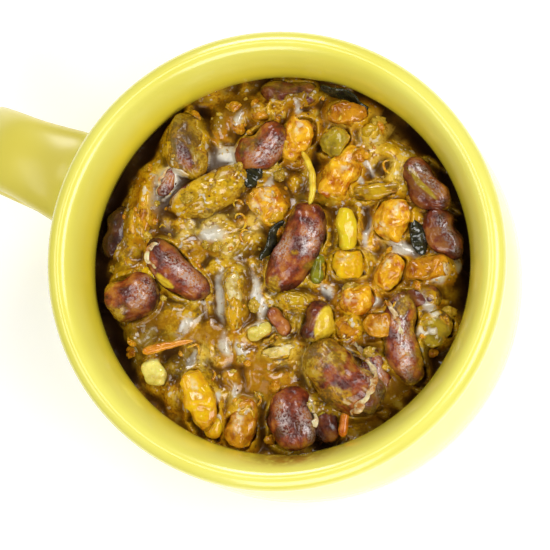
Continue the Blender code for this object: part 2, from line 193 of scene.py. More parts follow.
# Places on the gravy that differ from the rest: centre, heading, length and width.
Patch = namedtuple("Patch", "x y heading length width")
# Pools are smooth places whose pale colour is painted glare.
POOLS = rows(
    Patch,
    (-31.8, 7.6, 94, 13.0, 6.0), (-21.9, 17.0, 30, 8.6, 5.6), (-17.0, 0.0, 44, 6.5, 4.5),
    (-9.5, -12.6, -64, 11.0, 2.2), (-1.4, -9.4, -52, 10.9, 2.8), (-4.5, -22.1, -61, 5.5, 2.5),
    (-0.4, -21.8, -61, 5.5, 2.0), (-14.7, -22.1, 60, 5.0, 3.0), (14.4, -32.4, -61, 7.7, 3.2),
    (19.8, -27.8, -56, 5.9, 2.7), (24.8, 14.8, 10, 7.7, 3.0), (2.4, -15.2, 28, 5.0, 2.9),
    (34.6, 11.9, 60, 4.5, 2.8), (37.9, -0.4, 44, 5.9, 2.7), (15.4, 14.9, 109, 7.7, 1.3),
    (23.2, 0.7, 34, 3.6, 2.7), (30.6, -21.9, 84, 5.0, 2.0), (22.3, -12.6, -46, 3.6, 2.0),
    (19.7, 17.7, -36, 5.0, 3.2), (35.5, 4.5, -36, 6.8, 2.7), (-23.0, 27.0, 84, 3.6, 1.8),
    (37.1, 16.1, -46, 3.6, 1.4), (13.1, -1.3, -21, 3.8, 2.0), (-32.6, 22.1, 104, 3.8, 1.6),
    (-10.7, 35.3, 112, 3.8, 1.4), (9.8, 29.1, -36, 4.6, 1.6), (8.7, 24.7, -21, 3.6, 1.3),
    (-8.8, 14.5, 104, 6.5, 1.6), (-10.3, -28.1, 84, 3.4, 1.5), (-1.0, -33.8, 104, 3.2, 1.2),
    (2.4, -31.4, 109, 4.0, 1.2),
)
HOLLOWS = rows(
    Patch,
    (-13.6, -31.7, -36, 8.2, 5.5), (-31.6, 25.1, -36, 4.1, 3.2), (26.4, -34.0, 24, 7.5, 3.6),
    (11.0, -36.3, 104, 9.0, 4.1), (-42.6, -3.0, 104, 24.0, 3.0), (38.4, 20.9, -64, 36.0, 3.4),
    (-40.2, 13.5, 84, 12.0, 2.8), (-16.2, -6.6, 24, 5.0, 2.6), (-2.2, 26.6, 104, 10.0, 2.4),
    (14.4, 16.0, 104, 8.0, 2.0), (14.0, -3.0, -36, 6.0, 1.8), (39.6, -6.9, 84, 11.0, 4.0),
    (-30.0, -29.5, -36, 13.0, 4.0), (-20.0, 12.8, 40, 5.0, 1.6),
)
PALE_MASH = rows(
    Patch,
    (9.5, 33.7, -56, 6.4, 4.1), (8.4, -18.6, 34, 10.0, 4.5), (15.0, -17.3, 104, 9.1, 3.2),
    (-13.6, -0.6, -36, 6.8, 3.6), (-10.0, 5.5, 84, 6.8, 4.5), (-19.9, 2.0, 44, 13.6, 3.2),
    (-10.4, -24.9, 84, 6.8, 4.5), (9.3, 39.1, -16, 9.1, 3.6), (-8.0, -27.6, 24, 6.8, 4.5),
    (4.3, -32.3, 24, 6.8, 3.2), (-21.2, -27.0, 104, 4.5, 3.2), (-0.6, 36.0, 24, 6.8, 3.6),
    (2.3, -15.2, 34, 5.0, 2.7), (15.4, 32.7, 84, 5.5, 3.6), (15.6, 29.4, 24, 5.5, 3.0),
    (6.1, 34.0, 54, 4.0, 3.0), (20.4, 13.9, -46, 5.5, 2.4), (31.0, 4.2, 24, 5.0, 3.0),
)
ORANGE_MASH = rows(
    Patch,
    (8.8, -25.3, 24, 11.4, 6.8), (-5.1, -13.9, -61, 15.9, 3.2), (-13.4, 35.9, 24, 13.6, 4.5),
    (-24.8, 24.0, 94, 11.4, 4.5), (3.9, 20.2, 84, 11.4, 5.5), (-10.9, 7.6, 24, 6.8, 6.8),
    (-31.5, -6.0, 109, 15.9, 2.6), (35.0, 6.1, 24, 6.8, 4.5), (-19.6, -7.4, -6, 6.8, 3.2),
    (0.0, -25.4, 24, 9.1, 6.8), (10.0, 40.0, 10, 9.0, 5.0),
)

OLIVE_GRAVY = rows(
    Patch,
    (-20.6, 3.9, 24, 18.2, 13.6), (-20.8, 9.6, 52, 21.6, 9.1), (8.4, -6.9, 24, 13.6, 7.7),
    (-10.4, 35.5, 24, 20.5, 11.4), (-21.0, 22.7, 84, 13.6, 9.1), (18.4, 27.5, 4, 15.9, 8.2),
    (0.5, -27.8, 24, 15.9, 12.7), (35.3, -5.3, 24, 9.1, 9.1), (2.6, 23.3, 84, 9.1, 4.5),
    (12.6, 32.0, -36, 14.0, 10.0), (26.0, 3.0, 24, 14.0, 14.0),
)

# Places where the gravy and the beans are darkened: partly darker gravy, partly painted shade near the walls
# and in shadowed spots.
DARK_GRAVY_AND_SHADE = rows(
    Patch,
    (32.2, 21.8, -41, 13.6, 7.7), (23.7, 28.7, -26, 13.6, 6.8), (-39.3, -8.6, 104, 13.6, 6.8),
    (24.9, -29.3, -58, 10.5, 6.4), (32.5, 6.4, 4, 8.2, 5.5), (-14.4, 38.0, 22, 15.9, 5.5),
    (-24.1, -32.0, 84, 20.5, 10.0), (34.9, -19.0, 64, 15.9, 6.8), (23.4, 38.7, -26, 13.6, 4.5),
    (-24.6, 30.1, 24, 10.6, 5.1), (-28.1, 24.1, 54, 6.9, 4.6), (27.0, -9.0, 24, 5.1, 4.1),
    (-8.7, -1.5, 44, 6.9, 3.2), (-28.0, -5.9, 24, 3.7, 3.7), (5.7, 16.0, 114, 4.6, 2.3),
    (8.0, 16.5, 24, 5.1, 3.7), (-31.6, 17.6, -58, 11.0, 5.0), (33.0, 6.2, 6, 7.0, 5.0),
    (-22.5, -27.5, 24, 13.0, 7.0), (-12.0, -29.0, 84, 8.0, 5.0), (12.0, -9.7, 99, 9.0, 3.0),
)

# Smooth brown gravy between the pieces.
CALM_GRAVY = rows(
    Patch,
    (8.5, -27.5, 24, 12.0, 6.0), (4.8, -23.1, 24, 6.0, 4.5), (-9.3, -21.9, 24, 11.5, 4.6),
    (-20.5, -22.5, 24, 9.2, 3.7), (-24.6, 30.1, 24, 10.6, 5.1), (27.0, -9.0, 24, 5.1, 4.1),
    (36.2, -14.4, 64, 8.0, 5.5), (33.2, -21.9, 54, 8.0, 5.0), (-17.3, -3.9, 24, 6.9, 3.2),
)

# The gravy's kinds of places, each with the softness of their edges.
GRAVY_PLACES = {
    "hollow": (HOLLOWS, 0.6), "pool": (POOLS, 0.4), "mash": (PALE_MASH, 0.6), "orange": (ORANGE_MASH, 0.6),
    "olive": (OLIVE_GRAVY, 0.7), "dim": (DARK_GRAVY_AND_SHADE, 0.6), "calm": (CALM_GRAVY, 0.6),
}

# Streaks on the beans where painted glints stand for fine wrinkles that catch the light.
SHINE = rows(
    Patch,
    (4.9, 7.9, 94, 7.7, 4.1), (-0.1, 3.8, 84, 5.9, 3.2), (32.9, -4.0, -58, 18.2, 3.2),
    (-25.9, -18.0, 84, 7.3, 4.1), (-19.1, -10.6, -21, 10.5, 3.4), (-12.4, 22.8, 49, 8.6, 4.1),
    (21.5, -31.2, -46, 8.6, 3.2), (15.8, -32.0, -51, 7.7, 2.7), (30.2, -15.8, -36, 15.9, 2.2),
    (17.3, -15.8, -6, 6.8, 3.2), (32.7, 21.7, -41, 8.2, 2.3), (23.7, 31.4, -26, 10.5, 2.0),
    (-31.8, 15.0, -56, 9.1, 3.2), (30.7, -13.4, -51, 8.2, 2.3), (-32.2, 7.4, 97, 7.0, 2.4),
)

# Films of gravy over the beans.
SMEARS = rows(
    Patch,
    (2.5, 2.9, 44, 3.6, 1.8), (1.6, -4.7, 84, 5.0, 2.7), (7.1, 2.7, 49, 4.5, 1.4),
    (-16.9, 23.1, 94, 6.8, 4.5), (18.5, -14.4, -6, 10.5, 5.9), (16.4, -18.8, -26, 9.1, 5.9),
    (24.6, -22.7, 14, 7.7, 3.6), (-30.8, -25.7, 34, 9.1, 3.6), (-34.3, -20.3, 84, 4.5, 2.7),
    (29.8, 1.9, -56, 4.5, 3.2), (19.9, 31.1, -26, 4.5, 1.8),
)

# Bare skin on the coated beans.
BARE_SKIN = rows(
    Patch,
    (-29.9, 14.0, -46, 4.8, 2.6), (-28.2, 6.5, 84, 4.5, 2.3),
)

# Pale patches of painted glare on the vegetables.
VEGETABLE_GLARE = rows(
    Patch,
    (-8.3, 12.7, -36, 5.5, 2.5), (-9.7, 9.1, -46, 4.5, 2.0), (5.3, 27.3, 82, 4.1, 2.0),
    (-8.1, 30.5, 84, 3.2, 1.8), (20.0, 22.2, 94, 3.0, 1.4), (18.4, 17.0, 4, 3.2, 1.6),
    (23.1, 10.1, 86, 3.6, 1.6), (6.0, -36.2, 104, 5.5, 2.0), (-5.7, -33.9, -36, 5.0, 1.6),
    (13.6, 7.2, 24, 3.2, 1.6), (27.7, -3.7, 34, 2.7, 2.0), (-6.3, -11.1, -64, 9.1, 2.2),
    (9.4, -17.3, 32, 5.0, 1.8), (18.9, -0.7, 24, 3.2, 2.0),
)

# Pieces: centre, heading of the long side from +X, size, tilt of that side, how far a bean is bent,
# how much of the piece wears a coat of gravy, and how high the gravy climbs up it.
Bean = namedtuple("Bean", "name x y z heading length width tilt bend coat climb")
BEANS = rows(
    Bean,
    ("bean_centre", 2.2, 4.8, 65.6, 88, 22.0, 10.0, 2, 0.08, 0.06, 0.9),
    ("bean_split", -21.6, -11.0, 65.0, -20, 18.5, 8.4, -3, 0.12, 0.06, 1.3),
    ("bean_west", -28.8, -20.8, 64.4, 39, 12.8, 11.0, 10, 0.05, 0.16, 1.0),
    ("bean_north", -14.6, 23.2, 65.0, 59, 13.5, 9.6, 8, 0.08, 0.10, 1.1),
    ("bean_north_east", 23.4, 29.8, 63.8, -28, 15.0, 8.2, 4, 0.10, 0.12, 0.8),
    ("bean_east", 31.8, 21.2, 62.8, -43, 13.0, 8.0, -6, 0.10, 0.08, 0.8),
    ("bean_large", 24.0, -18.2, 64.8, -21, 21.6, 12.4, 3, 0.08, 0.46, 1.7),
    ("bean_curved", 32.9, -4.6, 64.4, -59, 21.4, 8.6, -4, 0.24, 0.50, 1.9),
    ("bean_south", 17.3, -31.5, 65.0, -52, 14.8, 10.8, 12, 0.05, 0.10, 0.8),
    ("bean_north_west", -31.2, 16.8, 63.8, -58, 15.5, 9.8, 5, 0.08, 1.0, 3.2),
    ("bean_coated", -21.6, 9.0, 64.2, 50, 20.0, 9.0, 0, 0.10, 1.0, 9.0),
    ("bean_low_west", -39.2, -8.2, 59.0, 102, 13.0, 6.2, 0, 0.06, 0.02, 0.4),
    ("bean_low_east", 30.6, -13.8, 61.8, -52, 11.6, 7.0, 0, 0.06, 0.04, 0.6),
    ("bean_half", 13.7, -8.9, 65.4, 99, 9.8, 7.0, 0, 0.06, 0.00, 0.3),
    ("bean_far_north", -14.1, 37.3, 62.2, 22, 14.2, 6.8, 0, 0.06, 0.80, 2.0),
    ("bean_low_south", 24.3, -28.9, 61.8, -58, 10.0, 6.8, 0, 0.06, 0.10, 0.5),
    ("bean_low_middle", 33.0, 6.2, 62.6, 6, 8.6, 6.0, 0, 0.06, 0.45, 1.4),
    ("bean_skin_west", -32.0, 7.2, 63.8, 99, 7.6, 3.8, 0, 0.04, 0.00, 0.3),
    ("bean_skin_south", 5.6, -12.1, 65.8, -28, 8.0, 3.8, 0, 0.04, 0.05, 0.3),
)

# Shape of a bean: its thickness as a share of its width, how blunt and full it is, the notch in its
# side, where its bend is at rest, and how it is warped.
BEAN_THICKNESS_SHARE = 0.92
BEAN_BLUNTNESS = 2.4
BEAN_FULLNESS = 0.44
BEAN_NOTCH_DEPTH = 0.16
BEAN_NOTCH_REACH = 0.35
BEAN_MIDDLE_REST = 0.3
BEAN_WARP_LENGTH = 4.5
BEAN_WARP_DEPTH = 0.75

# Wrinkled skin: depth and length of its dents, and depth, length, width and level of its folds.
SKIN_DENT = (1.2, 3.6)
SKIN_FOLDS = ((1.5, 2.2, 1.0, 0.22), (0.8, 1.0, 0.55, 0.2))

# Pale flesh that shows where a skin is torn: piece, middle and half width across, half length.
Tear = namedtuple("Tear", "piece across width along")
TEARS = rows(
    Tear,
    ("bean_half", -0.62, 0.58, 0.92), ("bean_north_east", -0.05, 0.17, 0.60),
    ("bean_split", -0.75, 0.22, 0.25),
)

Chunk = namedtuple("Chunk", "name x y z heading length width height tilt coat climb")
CHUNKS = rows(
    Chunk,
    ("tomato_centre", 20.0, -0.6, 65.2, 44, 8.4, 5.6, 5.0, 0, 0.35, 1.2),
    ("tomato_north", -8.0, 28.0, 65.3, 89, 9.4, 6.2, 5.0, 8, 0.25, 1.0),
    ("tomato_far_north", 0.4, 38.0, 63.6, 16, 9.0, 5.4, 5.0, 0, 0.60, 1.6),
    ("tomato_top", -17.2, 31.4, 63.8, 29, 8.0, 4.8, 4.4, 0, 0.60, 1.2),
    ("tomato_middle", -7.8, 11.4, 65.2, -36, 9.4, 6.4, 5.0, 0, 0.20, 0.8),
    ("tomato_north_east", 4.9, 25.0, 65.4, 82, 13.0, 7.0, 5.4, -6, 0.25, 1.0),
    ("tomato_east_1", 19.9, 19.6, 65.4, 94, 9.4, 8.2, 5.6, 5, 0.25, 0.8),
    ("tomato_east_2", 24.4, 8.4, 65.2, 86, 8.4, 5.8, 5.0, 5, 0.25, 0.8),
    ("tomato_east_3", 31.6, 12.4, 64.2, 39, 9.2, 5.6, 4.8, 0, 0.45, 1.0),
    ("tomato_east_4", 27.0, -4.2, 66.6, 34, 6.6, 5.6, 4.2, 0, 0.25, 0.4),
    ("tomato_south", 6.5, -36.8, 63.4, 104, 11.0, 7.0, 5.4, -4, 0.20, 0.8),
    ("tomato_skin", -34.2, -1.1, 63.0, 109, 13.0, 3.4, 3.4, 0, 0.75, 0.8),
    ("potato_south_west", -4.3, -35.8, 64.4, -46, 14.4, 7.2, 6.4, 8, 0.30, 0.8),
    ("potato_centre", 14.8, 6.2, 65.6, 24, 8.0, 6.4, 5.0, 0, 0.10, 1.0),
    ("potato_low", 20.8, -7.2, 64.8, 54, 7.4, 5.6, 4.6, 0, 0.70, 1.6),
    ("pepper_strip", 11.4, 13.4, 65.8, -64, 9.4, 4.2, 4.0, 0, 0.10, 0.4),
    ("pepper_green", 8.9, 2.2, 65.2, 104, 6.0, 3.4, 3.6, 0, 0.25, 0.6),
    ("onion_south", 1.2, -40.0, 63.2, 104, 5.6, 4.0, 4.0, 0, 0.15, 0.4),
    ("onion_south_west", -16.8, -34.5, 62.8, -36, 6.2, 4.8, 3.6, 0, 0.05, -1.2),
    ("onion_north", 0.4, 31.0, 65.0, 84, 7.4, 6.0, 4.8, 0, 0.50, 0.8),
    ("onion_far_north", 7.0, 36.2, 64.6, 44, 4.2, 3.6, 3.6, 0, 0.10, 0.4),
    ("onion_east", 38.4, 0.9, 62.6, 64, 7.8, 6.8, 5.0, 0, 0.70, 1.2),
    ("onion_slice", 13.7, 24.2, 64.6, 29, 13.0, 3.8, 3.4, 0, 0.60, 0.6),
    ("onion_bit", 21.2, -26.8, 63.6, -16, 7.0, 3.4, 3.2, 0, 0.80, 1.2),
    ("onion_middle", -6.3, -11.9, 65.0, -64, 13.2, 4.0, 4.0, 0, 0.55, 1.2),
    ("onion_olive", 6.6, -6.6, 65.0, 16, 7.6, 3.8, 3.8, 0, 0.40, 0.8),
    ("onion_pale", 2.1, -16.0, 65.2, 44, 6.0, 3.6, 3.4, 0, 0.15, 0.0),
    ("onion_low", 8.2, -18.6, 64.8, 32, 8.8, 3.4, 3.4, 0, 0.65, 1.0),
    ("potato_bit", -27.0, -14.0, 64.7, 24, 3.6, 3.2, 3.0, 0, 0.0, -1.2),
)
LOOKS = {
    "pepper_green": "green", "onion_south_west": "pale", "onion_pale": "pale", "onion_middle": "cream",
    "onion_low": "cream", "onion_slice": "gold", "onion_olive": "gold", "onion_far_north": "gold",
    "onion_south": "potato", "tomato_far_north": "brown", "tomato_top": "brown", "tomato_east_3": "brown",
    "tomato_skin": "brown", "tomato_east_4": "brown", "tomato_south": "brown", "potato_low": "brown",
}

# Shape of a vegetable piece: how blunt and uneven it is, cuts along its edges, how steeply it falls
# off outside its outline, and the width from which its dents are full.
CHUNK_ROUNDNESS = 2.6
CHUNK_UNEVENNESS = 0.16
CHUNK_CUTS = 19
CHUNK_FALL = 1.3
CHUNK_FULL_WIDTH = 6.0

# Colours of each look, dark and light. A light colour that is a name is one of the settings.
Tint = namedtuple("Tint", "label dark light")
TINTS = {
    "tomato": Tint("cooked tomato", (0.46, 0.12, 0.003), "tomato"),
    "potato": Tint("cooked potato", (0.62, 0.27, 0.007), "potato"),
    "onion": Tint("cooked onion", (0.24, 0.16, 0.012), "onion"),
    "pale": Tint("pale onion", (0.60, 0.46, 0.06), (0.82, 0.72, 0.20)),
    "cream": Tint("soft onion", (0.36, 0.21, 0.02), (0.76, 0.58, 0.15)),
    "gold": Tint("fried onion", (0.30, 0.15, 0.005), (0.54, 0.33, 0.010)),
    "brown": Tint("browned tomato", (0.30, 0.08, 0.003), (0.62, 0.28, 0.010)),
    "pepper": Tint("cooked pepper", (0.70, 0.42, 0.01), "pepper"),
    "green": Tint("green pepper", (0.12, 0.11, 0.008), "green"),
}
STRIP_TINTS = {
    "ginger_sliver": Tint("pale ginger", (0.62, 0.38, 0.015), "ginger"),
    "ginger_needle": Tint("brown ginger", (0.55, 0.19, 0.008), (0.80, 0.37, 0.03)),
    "chilli_strip": Tint("chilli", (0.52, 0.11, 0.004), "chilli"),
}
SKIN_CURL_TINT = Tint("tomato skin", (0.42, 0.14, 0.006), "tomato")
TORN_SKIN_TINT = Tint("torn bean skin", (0.40, 0.15, 0.02), (0.78, 0.64, 0.36))

# Slivers: centre, heading, size, how far they bow and how much narrower one end is.
Strip = namedtuple("Strip", "name x y z heading length thickness bow narrowing")
STRIPS = rows(
    Strip,
    ("ginger_sliver", -2.2, 20.4, 66.9, -58, 12.6, 1.5, 1.6, 0.0),
    ("ginger_needle", -16.0, -27.8, 65.2, 36, 12.0, 1.7, 0.3, 0.45),
    ("chilli_strip", 28.6, -26.8, 63.8, 102, 7.6, 2.0, 0.5, 0.2),
)
STRIP_TAPER = 0.35
STRIP_FLATNESS = 0.85
STRIP_STEPS = 26
CURL_STEPS = 14
CURL_LIFT = 0.08
CURL_HALF_WIDTHS = (0.14, 0.30)
CURL_FLATNESS = 0.6
TORN_STEPS = 12
TORN_FLATNESS = 0.26
STRIP_COAT = 0.10
SHRED_COAT = 0.25

# Leaves: centre, heading, size, tilt of the long side and lean across it.
Leaf = namedtuple("Leaf", "name x y z heading length width tilt lean")
LEAVES = rows(
    Leaf,
    ("leaf_north", -2.0, 41.3, 63.9, -3, 12.5, 4.4, 0, 65),
    ("leaf_centre", -3.5, 4.2, 65.9, 86, 10.5, 3.6, 0, 60),
    ("leaf_west", -13.8, 16.2, 65.9, 84, 6.0, 4.2, 6, 12),
    ("leaf_east", 27.0, 18.2, 64.5, -52, 8.5, 4.2, 0, -20),
)
LEAF_THICKNESS = 0.42
LEAF_WAVE = 0.5
LEAF_CUP = 0.35
LEAF_TIP = 0.16
LEAF_CRUMPLE = 0.35

# Curls of tomato skin that lie on the gravy: centre, heading, radius, arc and rise.
Curl = namedtuple("Curl", "x y heading radius arc rise")
CURLS = rows(
    Curl,
    (-12.6, 5.2, 40, 2.1, 250, 0.6), (-9.6, 2.6, 200, 1.6, 210, 0.4), (-14.2, 8.4, 120, 1.8, 160, 0.5),
    (-10.8, -26.6, 80, 1.9, 170, 0.4), (6.8, -30.6, 10, 1.7, 200, 0.5), (27.4, 2.6, 300, 1.9, 180, 0.4),
    (14.6, 30.6, 220, 2.0, 190, 0.5), (-5.2, -29.6, 330, 1.6, 180, 0.4), (-29.0, -4.2, 70, 2.2, 120, 0.3),
)

# Ragged edges of torn bean skin: places along each edge and half its width.
Torn = namedtuple("Torn", "path width")
TORN_SKINS = (
    Torn(((20.8, -9.4), (23.1, -10.2), (26.3, -11.8), (29.2, -13.7), (31.0, -16.0), (31.4, -19.5),
          (30.4, -22.9), (29.4, -25.3)), 0.95),
    Torn(((19.1, -26.6), (21.3, -28.1), (22.8, -30.9)), 0.7),
    Torn(((-26.7, -7.5), (-28.4, -7.7), (-29.0, -9.3), (-28.5, -10.8), (-27.0, -11.9), (-25.4, -12.0)), 0.7),
    Torn(((26.9, 1.7), (30.0, -1.0), (33.3, -5.0)), 0.6),
    Torn(((-32.8, 3.0), (-33.6, 7.3), (-33.2, 11.6)), 0.55),
)

# Crumbs: a slot, colours, share of the count, share of the size, flatness, and how round.
Crumb = namedtuple("Crumb", "name slot dark light share size flatness rounds")
CRUMBS = (
    Crumb("onion_crumbs", "onion", (0.36, 0.20, 0.012), (0.58, 0.38, 0.05), 1.0, 1.0, 0.26, 2),
    Crumb("tomato_crumbs", "tomato", (0.42, 0.14, 0.006), (0.74, 0.36, 0.02), 1.0, 1.25, 0.26, 2),
    Crumb("spice_crumbs", "bean", (0.05, 0.016, 0.006), (0.16, 0.06, 0.01), 1.0, 0.62, 0.30, 2),
    Crumb("tomato_bits", "tomato", (0.40, 0.12, 0.004), (0.70, 0.34, 0.012), 0.7, 2.8, 0.24, 3),
    Crumb("onion_bits", "onion", (0.34, 0.20, 0.012), (0.62, 0.40, 0.04), 0.6, 2.8, 0.24, 3),
)
CRUMB_GROUND_RADIUS = 40.5
CRUMB_GROUND_SLOPE = 0.35

# Second colours of the finishes.
DARK_CLAY = (0.42, 0.33, 0.24)
SPICE_SPECK = (0.07, 0.02, 0.005)
# Colour of the painted shade on the sides of the beans.
BEAN_SIDE_SHADE = (0.030, 0.006, 0.004)
BEAN_FLESH = ((0.3, (0.60, 0.34, 0.012)), (0.7, (0.84, 0.62, 0.035)))
# Colour of the painted glare on the vegetables.
VEGETABLE_GLARE_COLOUR = (0.78, 0.68, 0.42)
LEAF_EDGE = (0.045, 0.042, 0.012)
FLOOR_CLOUD = (0.95, 0.95, 0.95)

# Camera: width of the picture and half width of the lip in it, in pixels, and where the lip's middle
# lies from the picture's.
PICTURE_WIDTH = 550
LIP_PIXELS = 231.2
LIP_RADIUS = 52.5
LIP_HEIGHT = 73.0
LIP_SHIFT = (0.2, -15.2)
SENSOR_WIDTH = 36.0

# Soft lights: heading from the picture's right, angle from straight up, width and length in metres,
# and share of the power.
Lamp = namedtuple("Lamp", "name heading zenith size share")
LAMPS = (
    Lamp("left light", 182.0, 43.0, (0.24, 0.56), 0.34), Lamp("right light", -6.0, 40.0, (0.34, 0.58), 1.16),
    Lamp("top light", 100.0, 52.0, (0.30, 0.34), 0.88), Lamp("low light", -88.0, 52.0, (0.40, 0.50), 0.88),
    Lamp("window", 140.0, 13.0, (0.16, 0.20), 0.15),
)
LAMP_DISTANCE = 0.85
LAMP_AIM_HEIGHT = 0.06


# ---------------------------------------------------------------- shared forms

def mix(low, high, share):
    """Value that lies a share of the way from low to high."""
    return low + (high - low) * share


def smooth_step(low, high, value):
    """0 at low and 1 at high, smoothly."""
    share = np.clip((value - low) / (high - low), 0.0, 1.0)
    return share * share * (3.0 - 2.0 * share)


def smooth_max(first, second, reach):
    """Larger of two heights, rounded where they differ by less than a reach."""
    blend = np.clip(reach - np.abs(first - second), 0.0, None) / reach
    return np.maximum(first, second) + blend * blend * reach / 4


def curve_through(points, steps):
    """Points along a Catmull-Rom curve through the given 2D points, ends included."""
    ends = [points[0], *points, points[-1]]
    path = []
    for before, start, end, after in zip(ends, ends[1:], ends[2:], ends[3:]):
        for step in range(steps):
            t = step / steps
            path.append(tuple(
                0.5 * (2 * b + (c - a) * t + (2 * a - 5 * b + 4 * c - d) * t ** 2
                       + (3 * b - a - 3 * c + d) * t ** 3)
                for a, b, c, d in zip(before, start, end, after)))
    return path + [points[-1]]


INNER_CURVE = np.array(curve_through(INNER_WALL + LIP[:2], PROFILE_STEPS))


def inner_radius(height):
    """Radius of the mug's inner face at a height."""
    return np.interp(height, INNER_CURVE[:, 1], INNER_CURVE[:, 0])


def edge_height(angle):
    """Height of the gravy where it meets the wall."""
    swell = 0.5 + 0.5 * np.cos(2 * (angle - math.radians(EDGE_SWELL_HEADING)))
    ripple = sum(height * np.sin(waves * angle + phase) for height, waves, phase in EDGE_RIPPLES)
    return HEAP_EDGE + EDGE_SWELL * swell + ripple


def picture_right(x, y):
    """How far a place lies towards the right in the picture."""
    return x * math.cos(math.radians(PICTURE_RIGHT)) + y * math.sin(math.radians(PICTURE_RIGHT))


def noise_at(x, y, length, layer=0.0):
    """Smooth noise of about -1 to 1 over arrays of places."""
    return np.array([noise.noise(Vector((u / length, v / length, layer))) for u, v in zip(x, y)])


def heap_height(x, y):
    """Height of the gravy's uneven top, in arrays."""
    radius = np.hypot(x, y)
    dome = mix(HEAP_CENTRE, HEAP_SHOULDER, smooth_step(0.0, SHOULDER_RADIUS, radius))
    edge = edge_height(np.arctan2(y, x))
    slope = smooth_step(SHOULDER_RADIUS, inner_radius(edge) - GAP, radius)
    lumps = noise_at(x, y, LUMP_LENGTH) * LUMP_HEIGHT * (1.0 - slope)
    for mound in MOUNDS:
        reach = np.hypot(x - mound.x, y - mound.y) / mound.radius
        lumps = lumps + mound.height * np.exp(-reach * reach)
    return mix(dome, edge, slope) + lumps * np.minimum(1.0, LUMPS_ON_SLOPE * (1.0 - slope))


def turned_to(piece, x, y):
    """Places in a piece's own directions, along and across its heading."""
    heading = math.radians(piece.heading)
    along = (x - piece.x) * math.cos(heading) + (y - piece.y) * math.sin(heading)
    across = (y - piece.y) * math.cos(heading) - (x - piece.x) * math.sin(heading)
    return along, across


def inside_patches(patches, x, y, softness=0.5):
    """Share of 0 to 1 that says how far a place lies inside any of the patches."""
    share = np.zeros_like(x)
    for patch in patches:
        along, across = turned_to(patch, x, y)
        reach = np.hypot(along / (patch.length / 2), across / (patch.width / 2))
        share = np.maximum(share, 1.0 - smooth_step(1.0 - softness, 1.0 + softness, reach))
    return share


def bean_top(bean, x, y):
    """Height of a bean's upper side, falling steeply outside its outline."""
    along, across = turned_to(bean, x, y)
    share = along / (bean.length / 2)
    full = np.clip(1.0 - np.abs(share) ** BEAN_BLUNTNESS, 0.02, 1.0) ** BEAN_FULLNESS
    middle = bean.bend * bean.width * (share ** 2 - BEAN_MIDDLE_REST)
    side = np.abs(across - middle) / (bean.width / 2 * full)
    rise = bean.width * BEAN_THICKNESS_SHARE / 2 * full * np.sqrt(np.clip(1.0 - side ** 2, 0.0, 1.0))
    fall = (np.clip(side - 1.0, 0.0, None) * bean.width
            + np.clip(np.abs(share) - 1.0, 0.0, None) * bean.length)
    return bean.z + along * math.tan(math.radians(bean.tilt)) + rise - fall


def chunk_top(chunk, x, y):
    """Height of a chunk's upper side, falling steeply outside its outline."""
    along, across = turned_to(chunk, x, y)
    power, root = CHUNK_ROUNDNESS, 1.0 / CHUNK_ROUNDNESS
    reach = np.abs(along / (chunk.length / 2)) ** power + np.abs(across / (chunk.width / 2)) ** power
    reach = reach ** root
    rise = chunk.height / 2 * np.clip(1.0 - reach ** power, 0.0, 1.0) ** root
    fall = np.clip(reach - 1.0, 0.0, None) * chunk.width * CHUNK_FALL
    return chunk.z + along * math.tan(math.radians(chunk.tilt)) + rise - fall


# ---------------------------------------------------------------- meshes

def add_object(name, data):
    """Object in the scene, at the origin."""
    made = bpy.data.objects.new(name, data)
    bpy.context.scene.collection.objects.link(made)
    return made


def plain_mesh(name, bm):
    """Mesh from a bmesh that isn't needed any more."""
    mesh = bpy.data.meshes.new(name)
    bm.to_mesh(mesh)
    bm.free()
    return mesh


def smooth_mesh(name, bm):
    """Smooth mesh from a closed bmesh, with its faces pointing outwards."""
    if bm.calc_volume(signed=True) < 0.0:
        bmesh.ops.reverse_faces(bm, faces=bm.faces)
    mesh = plain_mesh(name, bm)
    mesh.shade_smooth()
    return mesh


def joined_mesh(name, parts):
    """One mesh in metres from several bmeshes in millimetres."""
    joined = bmesh.new()
    for part in parts:
        mesh = plain_mesh(name, part)
        joined.from_mesh(mesh)
        bpy.data.meshes.remove(mesh)
    joined.transform(Matrix.Scale(MM, 4))
    return smooth_mesh(name, joined)


def evaluated_mesh(target):
    """Plain mesh of an object with its modifiers applied."""
    depsgraph = bpy.context.evaluated_depsgraph_get()
    return bpy.data.meshes.new_from_object(target.evaluated_get(depsgraph))


def tube(points, halves, sides, across=None):
    """Closed tube through points, with half its width and half its height at each of them."""
    bm = bmesh.new()
    rings = []
    for index, (place, (half, rise)) in enumerate(zip(points, halves)):
        ahead = (points[min(index + 1, len(points) - 1)] - points[max(index - 1, 0)]).normalized()
        side_way = across or ahead.cross(Vector((0.0, 0.0, 1.0))).normalized()
        up_way = side_way.cross(ahead)
        turns = [2 * math.pi * side / sides for side in range(sides)]
        rings.append([bm.verts.new(place + side_way * half * math.cos(turn) + up_way * rise * math.sin(turn))
                      for turn in turns])
    for first, second in zip(rings, rings[1:]):
        for side in range(sides):
            bm.faces.new((first[side], first[side - 1], second[side - 1], second[side]))
    bm.faces.new(rings[0])
    bm.faces.new(reversed(rings[-1]))
    return bm


def rounded(share, blunt):
    """Size of a rod along its length, from -1 to 1, smaller at its blunt ends."""
    return max(0.2, (1.0 - abs(share) ** blunt)) ** 0.5


def placement(piece, tilt=0.0, lean=0.0):
    """Matrix that puts a piece in place, from its own millimetres to metres."""
    return (Matrix.Scale(MM, 4) @ Matrix.Translation((piece.x, piece.y, piece.z))
            @ Matrix.Rotation(math.radians(piece.heading), 4, "Z")
            @ Matrix.Rotation(math.radians(-tilt), 4, "Y")
            @ Matrix.Rotation(math.radians(lean), 4, "X"))


